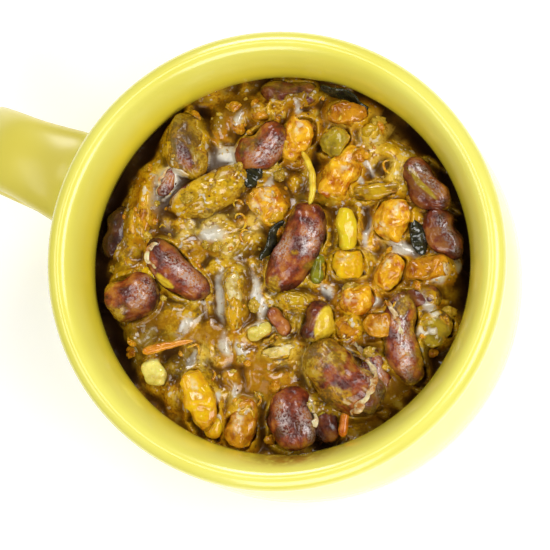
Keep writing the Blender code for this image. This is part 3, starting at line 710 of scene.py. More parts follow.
def places_of(mesh):
    """Places of a mesh's points in millimetres, as arrays of x, y and z."""
    return (np.array([vert.co for vert in mesh.vertices]) / MM).T


def set_attribute(mesh, name, values):
    """Store one number per vertex, or the same for all, for a material to read."""
    attribute = mesh.attributes.new(name, "FLOAT", "POINT")
    attribute.data.foreach_set("value", np.broadcast_to(values, len(mesh.vertices)).astype(np.float32))


def add_piece(name, mesh, finish, nodes=()):
    """Object for a finished piece, tied to the frame."""
    piece = add_object(name, mesh)
    mesh.materials.clear()
    mesh.materials.append(finish)
    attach(piece, "root")
    if nodes:
        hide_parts(*nodes)
    return piece


def gravy_level(x, y):
    """Height of the finished gravy under one place."""
    gravy = bpy.data.objects["thick_gravy"]
    hit, place, _, _ = gravy.ray_cast(Vector((x, y, ABOVE_MUG)) * MM, Vector((0.0, 0.0, -1.0)))
    if not hit:
        raise RuntimeError("no gravy under this place")
    return place.z / MM


def food_height(x, y):
    """Height of the food's top at one place: gravy, bean or vegetable."""
    place = np.array([x]), np.array([y])
    tops = [float(shape(piece, *place)[0]) for table, shape in ((BEANS, bean_top), (CHUNKS, chunk_top))
            for piece in table]
    return max(gravy_level(x, y), *tops)


# ---------------------------------------------------------------- materials

def plug(tree, socket, value):
    """Link a socket to a node's output, or give it a number or a colour."""
    if isinstance(value, bpy.types.NodeSocket):
        tree.links.new(value, socket)
    elif hasattr(value, "__len__") and len(value) == 3 and len(socket.default_value) == 4:
        socket.default_value = (*value, 1.0)
    else:
        socket.default_value = value


class Finish:
    """A Principled material and the few nodes that feed it."""

    def __init__(self, name, **values):
        self.material = bpy.data.materials.new(name)
        self.material.use_nodes = True
        self.tree = self.material.node_tree
        self.shader = self.tree.nodes["Principled BSDF"]
        self.coordinates = self.tree.nodes.new("ShaderNodeTexCoord").outputs["Object"]
        for socket, value in values.items():
            self.shader.inputs[socket.replace("_", " ")].default_value = value

    def set(self, socket, value):
        """Give one of the shader's inputs a value or a link."""
        plug(self.tree, self.shader.inputs[socket], value)

    def noise(self, length, detail=3.0, roughness=0.55):
        """Noise of 0 to 1 whose features are about as long as the given millimetres."""
        mapping = self.tree.nodes.new("ShaderNodeMapping")
        self.tree.links.new(self.coordinates, mapping.inputs["Vector"])
        mapping.inputs["Scale"].default_value = [1.0 / (length * MM)] * 3
        made = self.tree.nodes.new("ShaderNodeTexNoise")
        self.tree.links.new(mapping.outputs[0], made.inputs["Vector"])
        made.inputs["Scale"].default_value = 1.0
        made.inputs["Detail"].default_value = detail
        made.inputs["Roughness"].default_value = roughness
        return made.outputs["Fac"]

    def attribute(self, name):
        """Number that the mesh holds for each point."""
        made = self.tree.nodes.new("ShaderNodeAttribute")
        made.attribute_name = name
        return made.outputs["Fac"]

    def height(self):
        """Height above the ground in metres."""
        made = self.tree.nodes.new("ShaderNodeSeparateXYZ")
        self.tree.links.new(self.coordinates, made.inputs[0])
        return made.outputs["Z"]

    def math(self, operation, first, second, clamp):
        """Result of an operation on two values; clamp keeps it from 0 to 1."""
        made = self.tree.nodes.new("ShaderNodeMath")
        made.operation = operation
        made.use_clamp = clamp
        plug(self.tree, made.inputs[0], first)
        plug(self.tree, made.inputs[1], second)
        return made.outputs[0]

    def times(self, first, second, clamp=False):
        return self.math("MULTIPLY", first, second, clamp)

    def plus(self, first, second, clamp=False):
        return self.math("ADD", first, second, clamp)

    def less(self, first, second, clamp=False):
        return self.math("SUBTRACT", first, second, clamp)

    def most(self, first, second):
        return self.math("MAXIMUM", first, second, False)

    def between(self, value, low, high):
        """0 at low and 1 at high, smoothly."""
        made = self.tree.nodes.new("ShaderNodeMapRange")
        made.interpolation_type = "SMOOTHSTEP"
        plug(self.tree, made.inputs["Value"], value)
        made.inputs["From Min"].default_value = low
        made.inputs["From Max"].default_value = high
        return made.outputs["Result"]

    def blend(self, share, first, second):
        """Colour between two colours."""
        made = self.tree.nodes.new("ShaderNodeMix")
        made.data_type = "RGBA"
        plug(self.tree, made.inputs[0], share)
        plug(self.tree, made.inputs[6], first)
        plug(self.tree, made.inputs[7], second)
        return made.outputs[2]

    def ramp(self, value, stops):
        """Colour that follows a value past stops, each a place and a colour."""
        made = self.tree.nodes.new("ShaderNodeValToRGB")
        plug(self.tree, made.inputs[0], value)
        elements = made.color_ramp.elements
        while len(elements) < len(stops):
            elements.new(0.5)
        for element, (place, colour) in zip(elements, stops):
            element.position = place
            element.color = (*colour, 1.0)
        return made.outputs[0]

    def bump(self, height, strength, depth, below=None, socket="Normal"):
        """Relief of a depth in millimetres."""
        made = self.tree.nodes.new("ShaderNodeBump")
        made.inputs["Strength"].default_value = strength
        made.inputs["Distance"].default_value = depth * MM
        plug(self.tree, made.inputs["Height"], height)
        if below is not None:
            plug(self.tree, made.inputs["Normal"], below)
        self.set(socket, made.outputs[0])
        return made.outputs[0]

    def wet(self, weight, roughness, length, depth):
        """Clear wet film with soft waves of its own over the rougher food."""
        for socket, value in (("Coat Weight", weight), ("Coat Roughness", roughness), ("Coat IOR", 1.75)):
            self.set(socket, value)
        self.bump(self.noise(length, 2.0, 0.5), 1.0, depth, socket="Coat Normal")


def glaze_finish(settings):
    """Yellow glaze over clay, deeper inside and darker on the handle with painted shade, with a film of gravy
    above the food that is partly a painted reflection of the food.
    """
    finish = Finish("yellow glaze", Coat_Weight=1.0, Specular_IOR_Level=0.3)
    grip = finish.attribute("grip")
    finish.set("Coat Roughness", finish.plus(finish.times(grip, 0.24), 0.18))
    cloud = finish.between(finish.noise(26.0, 2.0), 0.3, 0.7)
    colour = finish.blend(cloud, settings.glaze, settings.glaze_deep)
    colour = finish.blend(finish.attribute("inside"), colour, settings.glaze_inside)
    # Painted shade: the handle's glaze is darker.
    colour = finish.blend(grip, colour, settings.glaze_handle_shade)
    # The stain is partly a film of gravy and partly a painted reflection of the food in the glaze.
    stain = finish.times(finish.attribute("stain"), finish.between(finish.noise(2.2), 0.15, 0.60))
    colour = finish.blend(stain, colour, settings.stain)
    rough = finish.noise(0.4, 2.0)
    bare = finish.between(finish.height(), *(height * MM for height in GLAZE_END))
    clay = finish.blend(rough, settings.clay, DARK_CLAY)
    finish.set("Base Color", finish.blend(bare, colour, clay))
    finish.set("Roughness", finish.plus(finish.times(bare, 0.65), settings.roughness))
    finish.bump(finish.noise(7.0, 1.0), 0.10, 0.5)
    return finish.material


def gravy_colour(finish, settings):
    """Colour of the gravy, shared by the coats on the pieces."""
    coarse = finish.times(finish.noise(2.8, 3.0, 0.55), 0.80)
    tint = finish.plus(coarse, finish.times(finish.noise(0.7, 3.0), 0.30))
    yellow = finish.ramp(tint, ((0.45, settings.brown), (0.50, settings.olive), (0.55, settings.ochre),
                                (0.60, settings.golden), (0.67, settings.pale)))
    red = finish.ramp(tint, ((0.44, settings.dark), (0.51, settings.brown), (0.56, settings.orange),
                             (0.63, settings.golden)))
    warm = finish.noise(4.2, 3.0)
    warm = finish.less(warm, finish.times(finish.attribute("olive"), 0.12))
    return finish.blend(finish.between(warm, 0.40, 0.54), yellow, red)


def gravy_finish(settings):
    """Oily gravy with mash, smooth pools of painted glare, painted shade in creases, hollows and the gap
    along the wall, and painted sparkles.
    """
    finish = Finish("masala gravy", Roughness=0.55, Specular_IOR_Level=0.0)
    base = gravy_colour(finish, settings)
    lump = finish.ramp(finish.attribute("lump"), (
        (0.0, settings.brown), (0.25, settings.ochre), (0.42, settings.orange), (0.55, settings.olive),
        (0.72, settings.golden), (0.95, settings.ochre)))
    colour = finish.blend(0.40, base, lump)
    # Painted shade: broad valleys of the gravy are darkened towards brown.
    colour = finish.blend(finish.times(finish.attribute("valley"), 0.7), colour, settings.brown)
    ragged = finish.noise(1.1, 3.0)
    # The pools' pale colour is painted glare.
    for name, tone, share, edge in (
            ("orange", settings.orange, 0.8, (0.36, 0.52)), ("mash", settings.pale, 0.65, (0.36, 0.52)),
            ("ridge", settings.golden, 0.55, (0.36, 0.52)), ("pool", settings.painted_glare, 0.78, (0.28, 0.44))):
        reach = finish.times(finish.attribute(name), finish.between(ragged, *edge))
        colour = finish.blend(finish.times(reach, share), colour, tone)
    calm = finish.attribute("calm")
    colour = finish.blend(finish.times(calm, 0.75), colour, settings.calm)
    grain = finish.noise(0.5, 3.0, 0.6)
    colour = finish.blend(finish.times(finish.between(grain, 0.48, 0.34), 0.12), colour, settings.brown)
    colour = finish.blend(finish.times(finish.between(grain, 0.56, 0.68), 0.10), colour, settings.pale)
    # Painted shade in the creases; the darkened places are partly darker gravy and partly painted shade.
    crease = finish.attribute("crease")
    shade = finish.most(crease, finish.times(finish.attribute("dim"), 0.6))
    colour = finish.blend(shade, colour, settings.dark)
    speck = finish.between(finish.noise(0.7, 2.0), 0.73, 0.77)
    colour = finish.blend(finish.times(speck, 0.6), colour, SPICE_SPECK)
    dull = finish.most(crease, finish.times(calm, 0.7))
    # Small painted sparkles, fewer in the creases and the calm gravy.
    painted_sparkle = finish.between(finish.noise(1.6, 2.0, 0.4), 0.63, 0.68)
    painted_sparkle = finish.times(painted_sparkle, finish.less(0.60, dull, clamp=True))
    colour = finish.blend(painted_sparkle, colour, settings.painted_glare)
    # Painted shadow in the gap along the wall and in the hollows, where the wet coat is also taken away.
    deep = finish.attribute("deep")
    finish.set("Base Color", finish.blend(deep, colour, settings.deep))
    film = finish.plus(finish.times(finish.attribute("pool"), 0.40), 0.60, clamp=True)
    film = finish.times(film, finish.less(1.0, dull))
    finish.wet(finish.times(film, finish.less(1.0, deep)), 0.12, 3.2, 0.09)
    finish.bump(finish.noise(0.7, 3.0, 0.55), 0.25, 0.08)
    return finish.material


def bean_finish(settings, gravy):
    """Red-brown skin with painted glints on its wrinkles and painted shade on its sides and low parts, pale
    flesh in the tears and smears of gravy.
    """
    finish = Finish("bean skin", Roughness=0.55, Specular_IOR_Level=0.0)
    skin = finish.ramp(finish.noise(3.4, 3.0, 0.5), (
        (0.38, settings.dark), (0.50, settings.skin), (0.62, settings.light)))
    flesh = finish.ramp(finish.noise(1.4), BEAN_FLESH)
    top = finish.attribute("top")
    shine = finish.attribute("shine")
    # Painted glints, strongest in the shine streaks and faint over the bean's top.
    reach = finish.plus(finish.times(finish.between(top, 0.35, 0.95), 0.1), shine)
    painted_glint = finish.times(finish.between(finish.noise(0.55, 4.0, 0.7), 0.44, 0.56), reach, clamp=True)
    skin = finish.blend(finish.times(painted_glint, 0.8), skin, settings.painted_glint)
    # Painted shade on the bean's sides.
    edge = finish.times(finish.between(top, 0.60, 0.0), 0.7)
    skin = finish.blend(edge, skin, BEAN_SIDE_SHADE)
    skin = finish.blend(finish.attribute("flesh"), skin, flesh)
    smear = finish.plus(finish.attribute("coat"), finish.attribute("smear"))
    ragged = finish.plus(smear, finish.times(finish.noise(1.1, 4.0), 0.6))
    coat = finish.times(finish.between(ragged, 0.50, 1.35), 0.85)
    film = finish.blend(0.45, gravy_colour(finish, gravy), gravy.olive)
    colour = finish.blend(coat, skin, film)
    # Painted shade on the low parts of a bean, and darker colour, partly painted shade, in the darkened
    # places.
    low_shade = finish.times(finish.between(finish.height(), 65.0 * MM, 61.5 * MM), 0.85)
    low_shade = finish.most(low_shade, finish.times(finish.attribute("dim"), 0.55))
    finish.set("Base Color", finish.blend(low_shade, colour, gravy.deep))
    finish.wet(finish.plus(finish.times(shine, 0.4), 0.5, clamp=True), 0.24, 1.6, 0.12)
    fine = finish.bump(finish.noise(0.65, 4.0, 0.7), 0.8, 0.25)
    finish.bump(coat, 0.4, 0.12, fine)
    return finish.material


def chunk_finish(name, dark, light, gravy):
    """Soft cooked flesh, darker below and lit by a painted highlight on top, with a coat of gravy and patches
    of painted glare.
    """
    finish = Finish(name, Roughness=0.5, Specular_IOR_Level=0.0,
                    Subsurface_Weight=0.45, Subsurface_Radius=(1.0, 0.6, 0.15), Subsurface_Scale=1.5 * MM)
    finish.wet(0.45, 0.11, 2.4, 0.08)
    middle = [mix(low, high, 0.55) for low, high in zip(dark, light)]
    painted_top_light = [min(1.0, value * share) for value, share in zip(light, (1.12, 1.22, 1.3))]
    colour = finish.ramp(finish.noise(2.4, 4.0, 0.6), ((0.38, dark), (0.49, middle), (0.61, light)))
    coat = finish.attribute("coat")
    colour = finish.blend(finish.times(finish.between(coat, 0.30, 0.85), 0.80), colour, dark)
    # Painted highlight on the least coated tops of the pieces.
    colour = finish.blend(finish.times(finish.between(coat, 0.05, -0.40), 0.5), colour, painted_top_light)
    ragged = finish.plus(coat, finish.times(finish.noise(1.0, 4.0), 0.5))
    smear = finish.times(finish.between(ragged, 0.55, 1.1), 0.75)
    colour = finish.blend(smear, colour, gravy_colour(finish, gravy))
    grain = finish.times(finish.between(finish.noise(0.7, 3.0, 0.6), 0.48, 0.34), 0.3)
    colour = finish.blend(grain, colour, dark)
    # Pale patches of painted glare.
    film = finish.times(finish.attribute("film"), finish.between(finish.noise(1.1, 3.0), 0.40, 0.58))
    finish.set("Base Color", finish.blend(finish.times(film, 0.75), colour, VEGETABLE_GLARE_COLOUR))
    finish.bump(finish.noise(0.6, 4.0), 0.45, 0.14)
    return finish.material


def tint_finish(tint, vegetables, gravy):
    """Finish of a cooked piece from its row of colours."""
    light = getattr(vegetables, tint.light) if isinstance(tint.light, str) else tint.light
    return chunk_finish(tint.label, tint.dark, light, gravy)


def leaf_finish(settings):
    """Nearly black leaf, brownish in spots, with a wet film."""
    finish = Finish("cooked leaf", Roughness=0.50, Specular_IOR_Level=0.0)
    finish.wet(0.6, 0.12, 0.9, 0.10)
    tint = finish.noise(1.6, 3.0)
    finish.set("Base Color", finish.ramp(tint, ((0.35, settings.leaf), (0.75, LEAF_EDGE))))
    finish.bump(finish.noise(0.8, 3.0), 0.5, 0.2)
    return finish.material


def floor_finish(settings):
    """Matt white that gives off a little light, as a lit white ground does."""
    finish = Finish("matt white floor", Roughness=0.9)
    tone = finish.between(finish.noise(400.0, 1.0), 0.2, 0.8)
    colour = finish.blend(tone, settings.floor, FLOOR_CLOUD)
    finish.set("Base Color", colour)
    finish.set("Emission Color", colour)
    finish.set("Emission Strength", settings.glow)
    return finish.material


# ---------------------------------------------------------------- settings

def colour_setting(name, value, about):
    return FloatVectorProperty(name=name, description=about, default=value, subtype="COLOR", size=3,
                               min=0.0, max=1.0)


def length_setting(name, value, least, most, about):
    """Setting for a length, given in millimetres."""
    return FloatProperty(name=name, description=about, default=value * MM, min=least * MM, max=most * MM,
                         unit="LENGTH")


class RajmaMugSettings(bpy.types.PropertyGroup):
    segments: IntProperty(name="Segments", description="Sides of the turned mug", default=176,
                          min=32, max=512)
    root_smoothing: IntProperty(name="Root smoothing", default=48, min=0, max=60,
                                description="Rounds of smoothing where the handle joins")
    roughness: FloatProperty(name="Roughness", description="Roughness of the glaze", default=0.24,
                             min=0.0, max=1.0, subtype="FACTOR")
    glaze: colour_setting("Glaze", (0.90, 0.84, 0.165), "Colour of the glaze")
    glaze_deep: colour_setting("Deeper glaze", (0.86, 0.78, 0.115), "Colour of the glaze where it lies thick")
    glaze_inside: colour_setting("Inner glaze", (0.97, 0.82, 0.048), "Colour of the glaze on the inner wall")
    # Darker handle glaze that is painted shade.
    glaze_handle_shade: colour_setting("Handle glaze", (0.80, 0.68, 0.085), "Colour of the glaze on the handle")
    clay: colour_setting("Clay", (0.55, 0.44, 0.32), "Colour of the bare clay under the foot")
    # Colour of the gravy film and splash on the wall, part of the film being a painted reflection of the
    # food.
    stain: colour_setting("Stain", (0.42, 0.17, 0.01), "Colour of the gravy film along the wall")


class RajmaGravySettings(bpy.types.PropertyGroup):
    grid: IntProperty(name="Grid", description="Squares across the gravy's top", default=284, min=40, max=300)
    relief: length_setting("Relief", 1.15, 0.0, 3.0, "Height of the small lumps")
    film: length_setting("Film", 0.22, 0.0, 1.0, "Thickness of the gravy on the pieces")
    # Dark is the colour of the painted shade in the creases, and the darkest gravy in the ramp.
    dark: colour_setting("Dark", (0.060, 0.022, 0.003), "Colour in the creases")
    brown: colour_setting("Brown", (0.19, 0.072, 0.004), "Colour of the gravy where it is dark")
    ochre: colour_setting("Ochre", (0.37, 0.180, 0.005), "Main colour of the gravy")
    golden: colour_setting("Golden", (0.70, 0.42, 0.008), "Colour of the oily, thin gravy")
    pale: colour_setting("Pale", (0.80, 0.58, 0.10), "Colour of the mashed crumbs")
    orange: colour_setting("Orange", (0.52, 0.20, 0.004), "Colour of the tomato mash")
    olive: colour_setting("Olive", (0.27, 0.17, 0.008), "Colour of the onion mash")
    # This colour is painted glare on the smooth pools and in the small painted sparkles.
    painted_glare: colour_setting("Sheen", (0.68, 0.67, 0.58), "Colour of the starchy film on the smooth pools")
    calm: colour_setting("Calm", (0.31, 0.130, 0.004), "Colour of the smooth brown gravy")
    # This colour is painted shadow in the gap along the wall, in the hollows and on the low beans.
    deep: colour_setting("Deep", (0.022, 0.010, 0.005), "Colour of the thin gravy in the gap along the wall")


class RajmaBeanSettings(bpy.types.PropertyGroup):
    fineness: length_setting("Fineness", 0.34, 0.1, 3.0, "Distance between points on a bean's skin")
    wrinkle: length_setting("Wrinkle", 0.27, 0.0, 1.0, "Depth of the wrinkles in the skin")
    dark: colour_setting("Dark skin", (0.085, 0.012, 0.006), "Darkest colour of the skin")
    skin: colour_setting("Skin", (0.26, 0.042, 0.010), "Main colour of the skin")
    light: colour_setting("Light skin", (0.46, 0.155, 0.020), "Lightest colour of the skin")
    # Colour of the painted glints.
    painted_glint: colour_setting("Glint", (0.50, 0.38, 0.34), "Colour of the fine wrinkles that catch the light")


class RajmaVegetableSettings(bpy.types.PropertyGroup):
    unevenness: length_setting("Unevenness", 0.55, 0.0, 2.0, "Depth of the dents in the cut pieces")
    tomato: colour_setting("Tomato", (0.84, 0.46, 0.016), "Colour of the tomato pieces")
    potato: colour_setting("Potato", (0.78, 0.47, 0.006), "Colour of the pale yellow pieces")
    onion: colour_setting("Onion", (0.44, 0.31, 0.016), "Colour of the onion pieces")
    pepper: colour_setting("Pepper", (0.70, 0.52, 0.018), "Colour of the yellow pepper")
    green: colour_setting("Green pepper", (0.26, 0.24, 0.012), "Colour of the green pepper")
    ginger: colour_setting("Ginger", (0.80, 0.60, 0.05), "Colour of the thin yellow slivers")
    chilli: colour_setting("Chilli", (0.82, 0.26, 0.012), "Colour of the orange-red slivers")
    leaf: colour_setting("Leaf", (0.009, 0.009, 0.006), "Colour of the cooked leaves")


class RajmaCrumbSettings(bpy.types.PropertyGroup):
    count: IntProperty(name="Count", description="Crumbs of each kind on the gravy", default=60,
                       min=0, max=4000)
    size: length_setting("Size", 0.95, 0.1, 4.0, "Width of a crumb")
    seed: IntProperty(name="Seed", description="Number that fixes where the crumbs fall", default=7, min=0)


class RajmaStageSettings(bpy.types.PropertyGroup):
    distance: FloatProperty(name="Distance", description="Camera to the lip", default=0.620, min=0.1,
                            max=5.0, unit="LENGTH")
    tilt: FloatProperty(name="Tilt", description="Camera's lean from straight above",
                        default=math.radians(10.0), min=0.0, max=math.radians(90.0), subtype="ANGLE")
    side: FloatProperty(name="Side", description="Direction the camera leans to, from +X",
                        default=math.radians(-16.0), min=-math.pi, max=math.pi, subtype="ANGLE")
    side_light: FloatProperty(name="Soft lights", default=3.6, min=0.0, max=500.0,
                              description="Power in watts that the soft lights have their shares of")
    sky: FloatProperty(name="Sky", description="Strength of the light from all round", default=0.06,
                       min=0.0, max=5.0)
    glow: FloatProperty(name="Glow", description="Light that the floor gives off", default=0.31, min=0.0,
                        max=5.0)
    floor: colour_setting("Floor", (0.93, 0.93, 0.93), "Colour of the floor")


# ---------------------------------------------------------------- mug

class RAJMA_OT_mug(bpy.types.Operator):
    """Turn the mug, join its loop handle and glaze it"""
    bl_idname = "rajma.mug"
    bl_label = "Mug"

    def execute(self, context):
        settings = context.scene.rajma_mug
        mug = add_object("mug blank", self.profile_mesh())
        screw = mug.modifiers.new("turn", "SCREW")
        screw.steps = settings.segments
        screw.render_steps = settings.segments
        screw.use_merge_vertices = True
        screw.merge_threshold = 0.004 * MM
        mug.data = evaluated_mesh(mug)
        mug.modifiers.clear()
        handle = add_object("handle blank", self.handle_mesh())
        union = mug.modifiers.new("join", "BOOLEAN")
        union.operation = "UNION"
        union.solver = "EXACT"
        union.object = handle
        joined = evaluated_mesh(mug)
        bpy.data.objects.remove(mug)
        bpy.data.objects.remove(handle)
        self.round_corner(joined, settings.root_smoothing)
        self.mark_glaze(joined)
        add_piece("glazed_mug", joined, glaze_finish(settings), ("bowl",))
        return {"FINISHED"}

    def profile_mesh(self):
        """Line from the middle of the mug's floor over the lip to the middle of its foot."""
        profile = [(0.0, FLOOR_HEIGHT), *curve_through(INNER_WALL + LIP + OUTER_WALL + FOOT, PROFILE_STEPS),
                   (0.0, 0.0)]
        mesh = bpy.data.meshes.new("mug profile")
        mesh.from_pydata([(radius * MM, 0.0, height * MM) for radius, height in profile],
                         [(index, index + 1) for index in range(len(profile) - 1)], [])
        return mesh

    def handle_mesh(self):
        """Oval strap swept along the handle's loop, with closed ends inside the wall."""
        path = curve_through(HANDLE_PATH, HANDLE_STEPS)
        halves = []
        for index in range(len(path)):
            from_end = min(index, len(path) - 1 - index)
            flare = mix(HANDLE_ROOT_FLARE, 1.0, float(smooth_step(0, HANDLE_FLARE_STEPS, from_end)))
            halves.append((HANDLE_WIDTH / 2 * flare, HANDLE_THICKNESS / 2 * flare))
        points = [Vector((x, 0.0, z)) for x, z in path]
        bm = tube(points, halves, HANDLE_SIDES, Vector((0.0, 1.0, 0.0)))
        bm.transform(Matrix.Scale(MM, 4))
        return smooth_mesh("handle", bm)

    def round_corner(self, mesh, rounds):
        """Round the inner corner between the handle and the wall."""
        bm = bmesh.new()
        bm.from_mesh(mesh)
        bmesh.ops.remove_doubles(bm, verts=bm.verts, dist=0.01 * MM)
        low, high = (height * MM for height in CORNER_HEIGHTS)
        sharp = {vert for edge in bm.edges
                 if not edge.is_manifold or edge.calc_face_angle(0.0) > CORNER_ANGLE
                 for vert in edge.verts if vert.co.x < CORNER_SIDE * MM and low < vert.co.z < high}
        corner = KDTree(len(sharp))
        for index, vert in enumerate(sharp):
            corner.insert(vert.co, index)
        corner.balance()

        def near_corner(items, reach):
            """Points, edges or faces that lie wholly within a reach of the corner."""
            return [item for item in items if all(corner.find(vert.co)[2] < reach * MM
                                                  for vert in getattr(item, "verts", (item,)))]

        def even_out(reach):
            """Triangles of a more even shape near the corner."""
            bmesh.ops.triangulate(bm, faces=near_corner(bm.faces, CORNER_REACH))
            bmesh.ops.beautify_fill(bm, faces=near_corner(bm.faces, reach),
                                    edges=near_corner(bm.edges, reach), method="ANGLE")

        joined = near_corner(bm.verts, CORNER_MERGE_REACH)
        bmesh.ops.remove_doubles(bm, verts=joined, dist=CORNER_MERGE * MM)
        even_out(CORNER_REACH)
        bmesh.ops.subdivide_edges(bm, edges=near_corner(bm.edges, CORNER_FINE_REACH), cuts=1)
        even_out(CORNER_CORE_REACH)
        around = near_corner(bm.verts, CORNER_ROUND_REACH[1])
        for step in range(rounds):
            near = near_corner(around, mix(*CORNER_ROUND_REACH, step / rounds))
            bmesh.ops.smooth_vert(bm, verts=near, factor=0.5, use_axis_x=True, use_axis_y=True,
                                  use_axis_z=True)
        bm.to_mesh(mesh)
        bm.free()
        mesh.shade_smooth()

    def mark_glaze(self, mesh):
        """Say where the glaze is the inner wall's or the handle's, and where gravy stains it and the food's
        reflection is painted on it.
        """
        x, y, z = places_of(mesh)
        angle = np.arctan2(y, x)
        wall = inner_radius(np.clip(z, FLOOR_HEIGHT, INNER_GLAZE_HEIGHTS[0]))
        inside = np.hypot(x, y) < wall + WALL_TOLERANCE
        side = np.clip(np.cos(angle - math.radians(FILM_HEADING)), 0.0, 1.0) ** 2
        above = np.clip(z - edge_height(angle) - FILM_START, 0.0, None)
        film = np.exp(-above / FILM_FADE) * mix(*FILM_SIDES, side)
        splash = np.exp(-((angle - math.radians(SPLASH_HEADING)) / SPLASH_HALF_ANGLE) ** 2)
        splash = splash * smooth_step(*SPLASH_HEIGHTS, z)
        set_attribute(mesh, "stain", np.maximum(film, SPLASH_SHARE * splash) * inside)
        set_attribute(mesh, "grip", smooth_step(*HANDLE_GLAZE_SPAN, x))
        set_attribute(mesh, "inside", inside * smooth_step(*INNER_GLAZE_HEIGHTS, z))


# ---------------------------------------------------------------- gravy

def disc_grid(count):
    """Square grid of points laid evenly over the unit disc."""
    bm = bmesh.new()
    bmesh.ops.create_grid(bm, x_segments=count, y_segments=count, size=1.0)
    for vert in bm.verts:
        u, v = vert.co.x, vert.co.y
        if abs(u) < 1e-9 and abs(v) < 1e-9:
            continue
        if abs(u) > abs(v):
            radius, angle = u, math.pi / 4 * v / u
        else:
            radius, angle = v, math.pi / 2 - math.pi / 4 * u / v
        vert.co.x, vert.co.y = radius * math.cos(angle), radius * math.sin(angle)
    return bm


def cell_lumps(x, y, length, layer):
    """Rounded lumps in uneven cells: their height of 0 to 1 and a random number for each lump."""
    height = np.zeros(len(x))
    number = np.zeros(len(x))
    for index, (u, v) in enumerate(zip(x, y)):
        place = Vector((u / length, v / length, layer))
        place += noise.noise_vector(place * 1.3) * CELL_BEND
        distances, points = noise.voronoi(place)
        number[index] = noise.cell(points[0] * 7.3)
        border = min(1.0, (distances[1] - distances[0]) * CELL_BORDER)
        height[index] = math.sqrt(border) * mix(CELL_LEAST, 1.0, abs(noise.cell(points[0] * 3.7)))
    return height, number


def blurred(heights, reach):
    """Heights of a square grid, given in one row, smoothed over a number of squares."""
    side = round(math.sqrt(len(heights)))
    steps = np.arange(-3 * reach, 3 * reach + 1)
    weights = np.exp(-0.5 * (steps / reach) ** 2)
    weights /= weights.sum()
    padded = np.pad(heights.reshape(side, side), 3 * reach, mode="edge")
    for axis in (0, 1):
        padded = np.apply_along_axis(np.convolve, axis, padded, weights, "valid")
    return padded.ravel()


def waver(x, y, layer):
    """Noise that bends an outline, long waves with short ones on them."""
    return sum(depth * noise_at(x, y, length, layer + index)
               for index, (depth, length) in enumerate(OUTLINE_WAVES))


def pooled(level, x, y, bent):
    """Gravy's level made flat in the pools, each leaning towards the light on its side of the picture."""
    for pool in POOLS:
        lean = -POOL_LEAN if picture_right(pool.x, pool.y) >= 0.0 else POOL_LEAN
        middle = float(heap_height(np.array([pool.x]), np.array([pool.y]))[0])
        flat = middle + lean * picture_right(x - pool.x, y - pool.y)
        share = inside_patches((pool,), *bent, GRAVY_PLACES["pool"][1])
        level = mix(level, flat, POOL_FLATNESS * share)
    return level


def climbing_gravy(settings, level, x, y, bends, fine):
    """Top of the gravy where it climbs up the pieces, and how near a place is to a chunk and a tomato."""
    ragged = noise_at(x, y, 3.4, 1.0) * 1.2 + noise_at(x, y, 1.2, 2.0) * 0.6
    top = level.copy()
    by_chunk = np.zeros_like(level)
    by_tomato = np.zeros_like(level)
    for table, shape, (raggedness, cling, thickness) in (
            (BEANS, bean_top, BEAN_CLIMB), (CHUNKS, chunk_top, CHUNK_CLIMB)):
        for piece in table:
            reach = piece.length / 2 + CLIMB_MARGIN
            near = np.flatnonzero((np.abs(x - piece.x) < reach) & (np.abs(y - piece.y) < reach))
            bent = (way[near] + PIECE_BEND * bend[near] for way, bend in zip((x, y), bends))
            upper = shape(piece, *bent)
            rise = upper - level[near]
            covered = smooth_step(-0.3, 0.3, piece.climb + cling + raggedness * ragged[near] - rise)
            film = settings.film / MM + thickness + 0.5 * (fine[near] - 0.5)
            wet = mix(level[near] - CLIMB_ROUNDING, upper + film, covered)
            top[near] = smooth_max(top[near], wet, CLIMB_ROUNDING)
            beside = smooth_step(*RUN_OFF_DROPS, rise)
            if table is CHUNKS:
                by_chunk[near] = np.maximum(by_chunk[near], beside)
            if piece.name.startswith("tomato"):
                by_tomato[near] = np.maximum(by_tomato[near], beside)
    return top, by_chunk, by_tomato


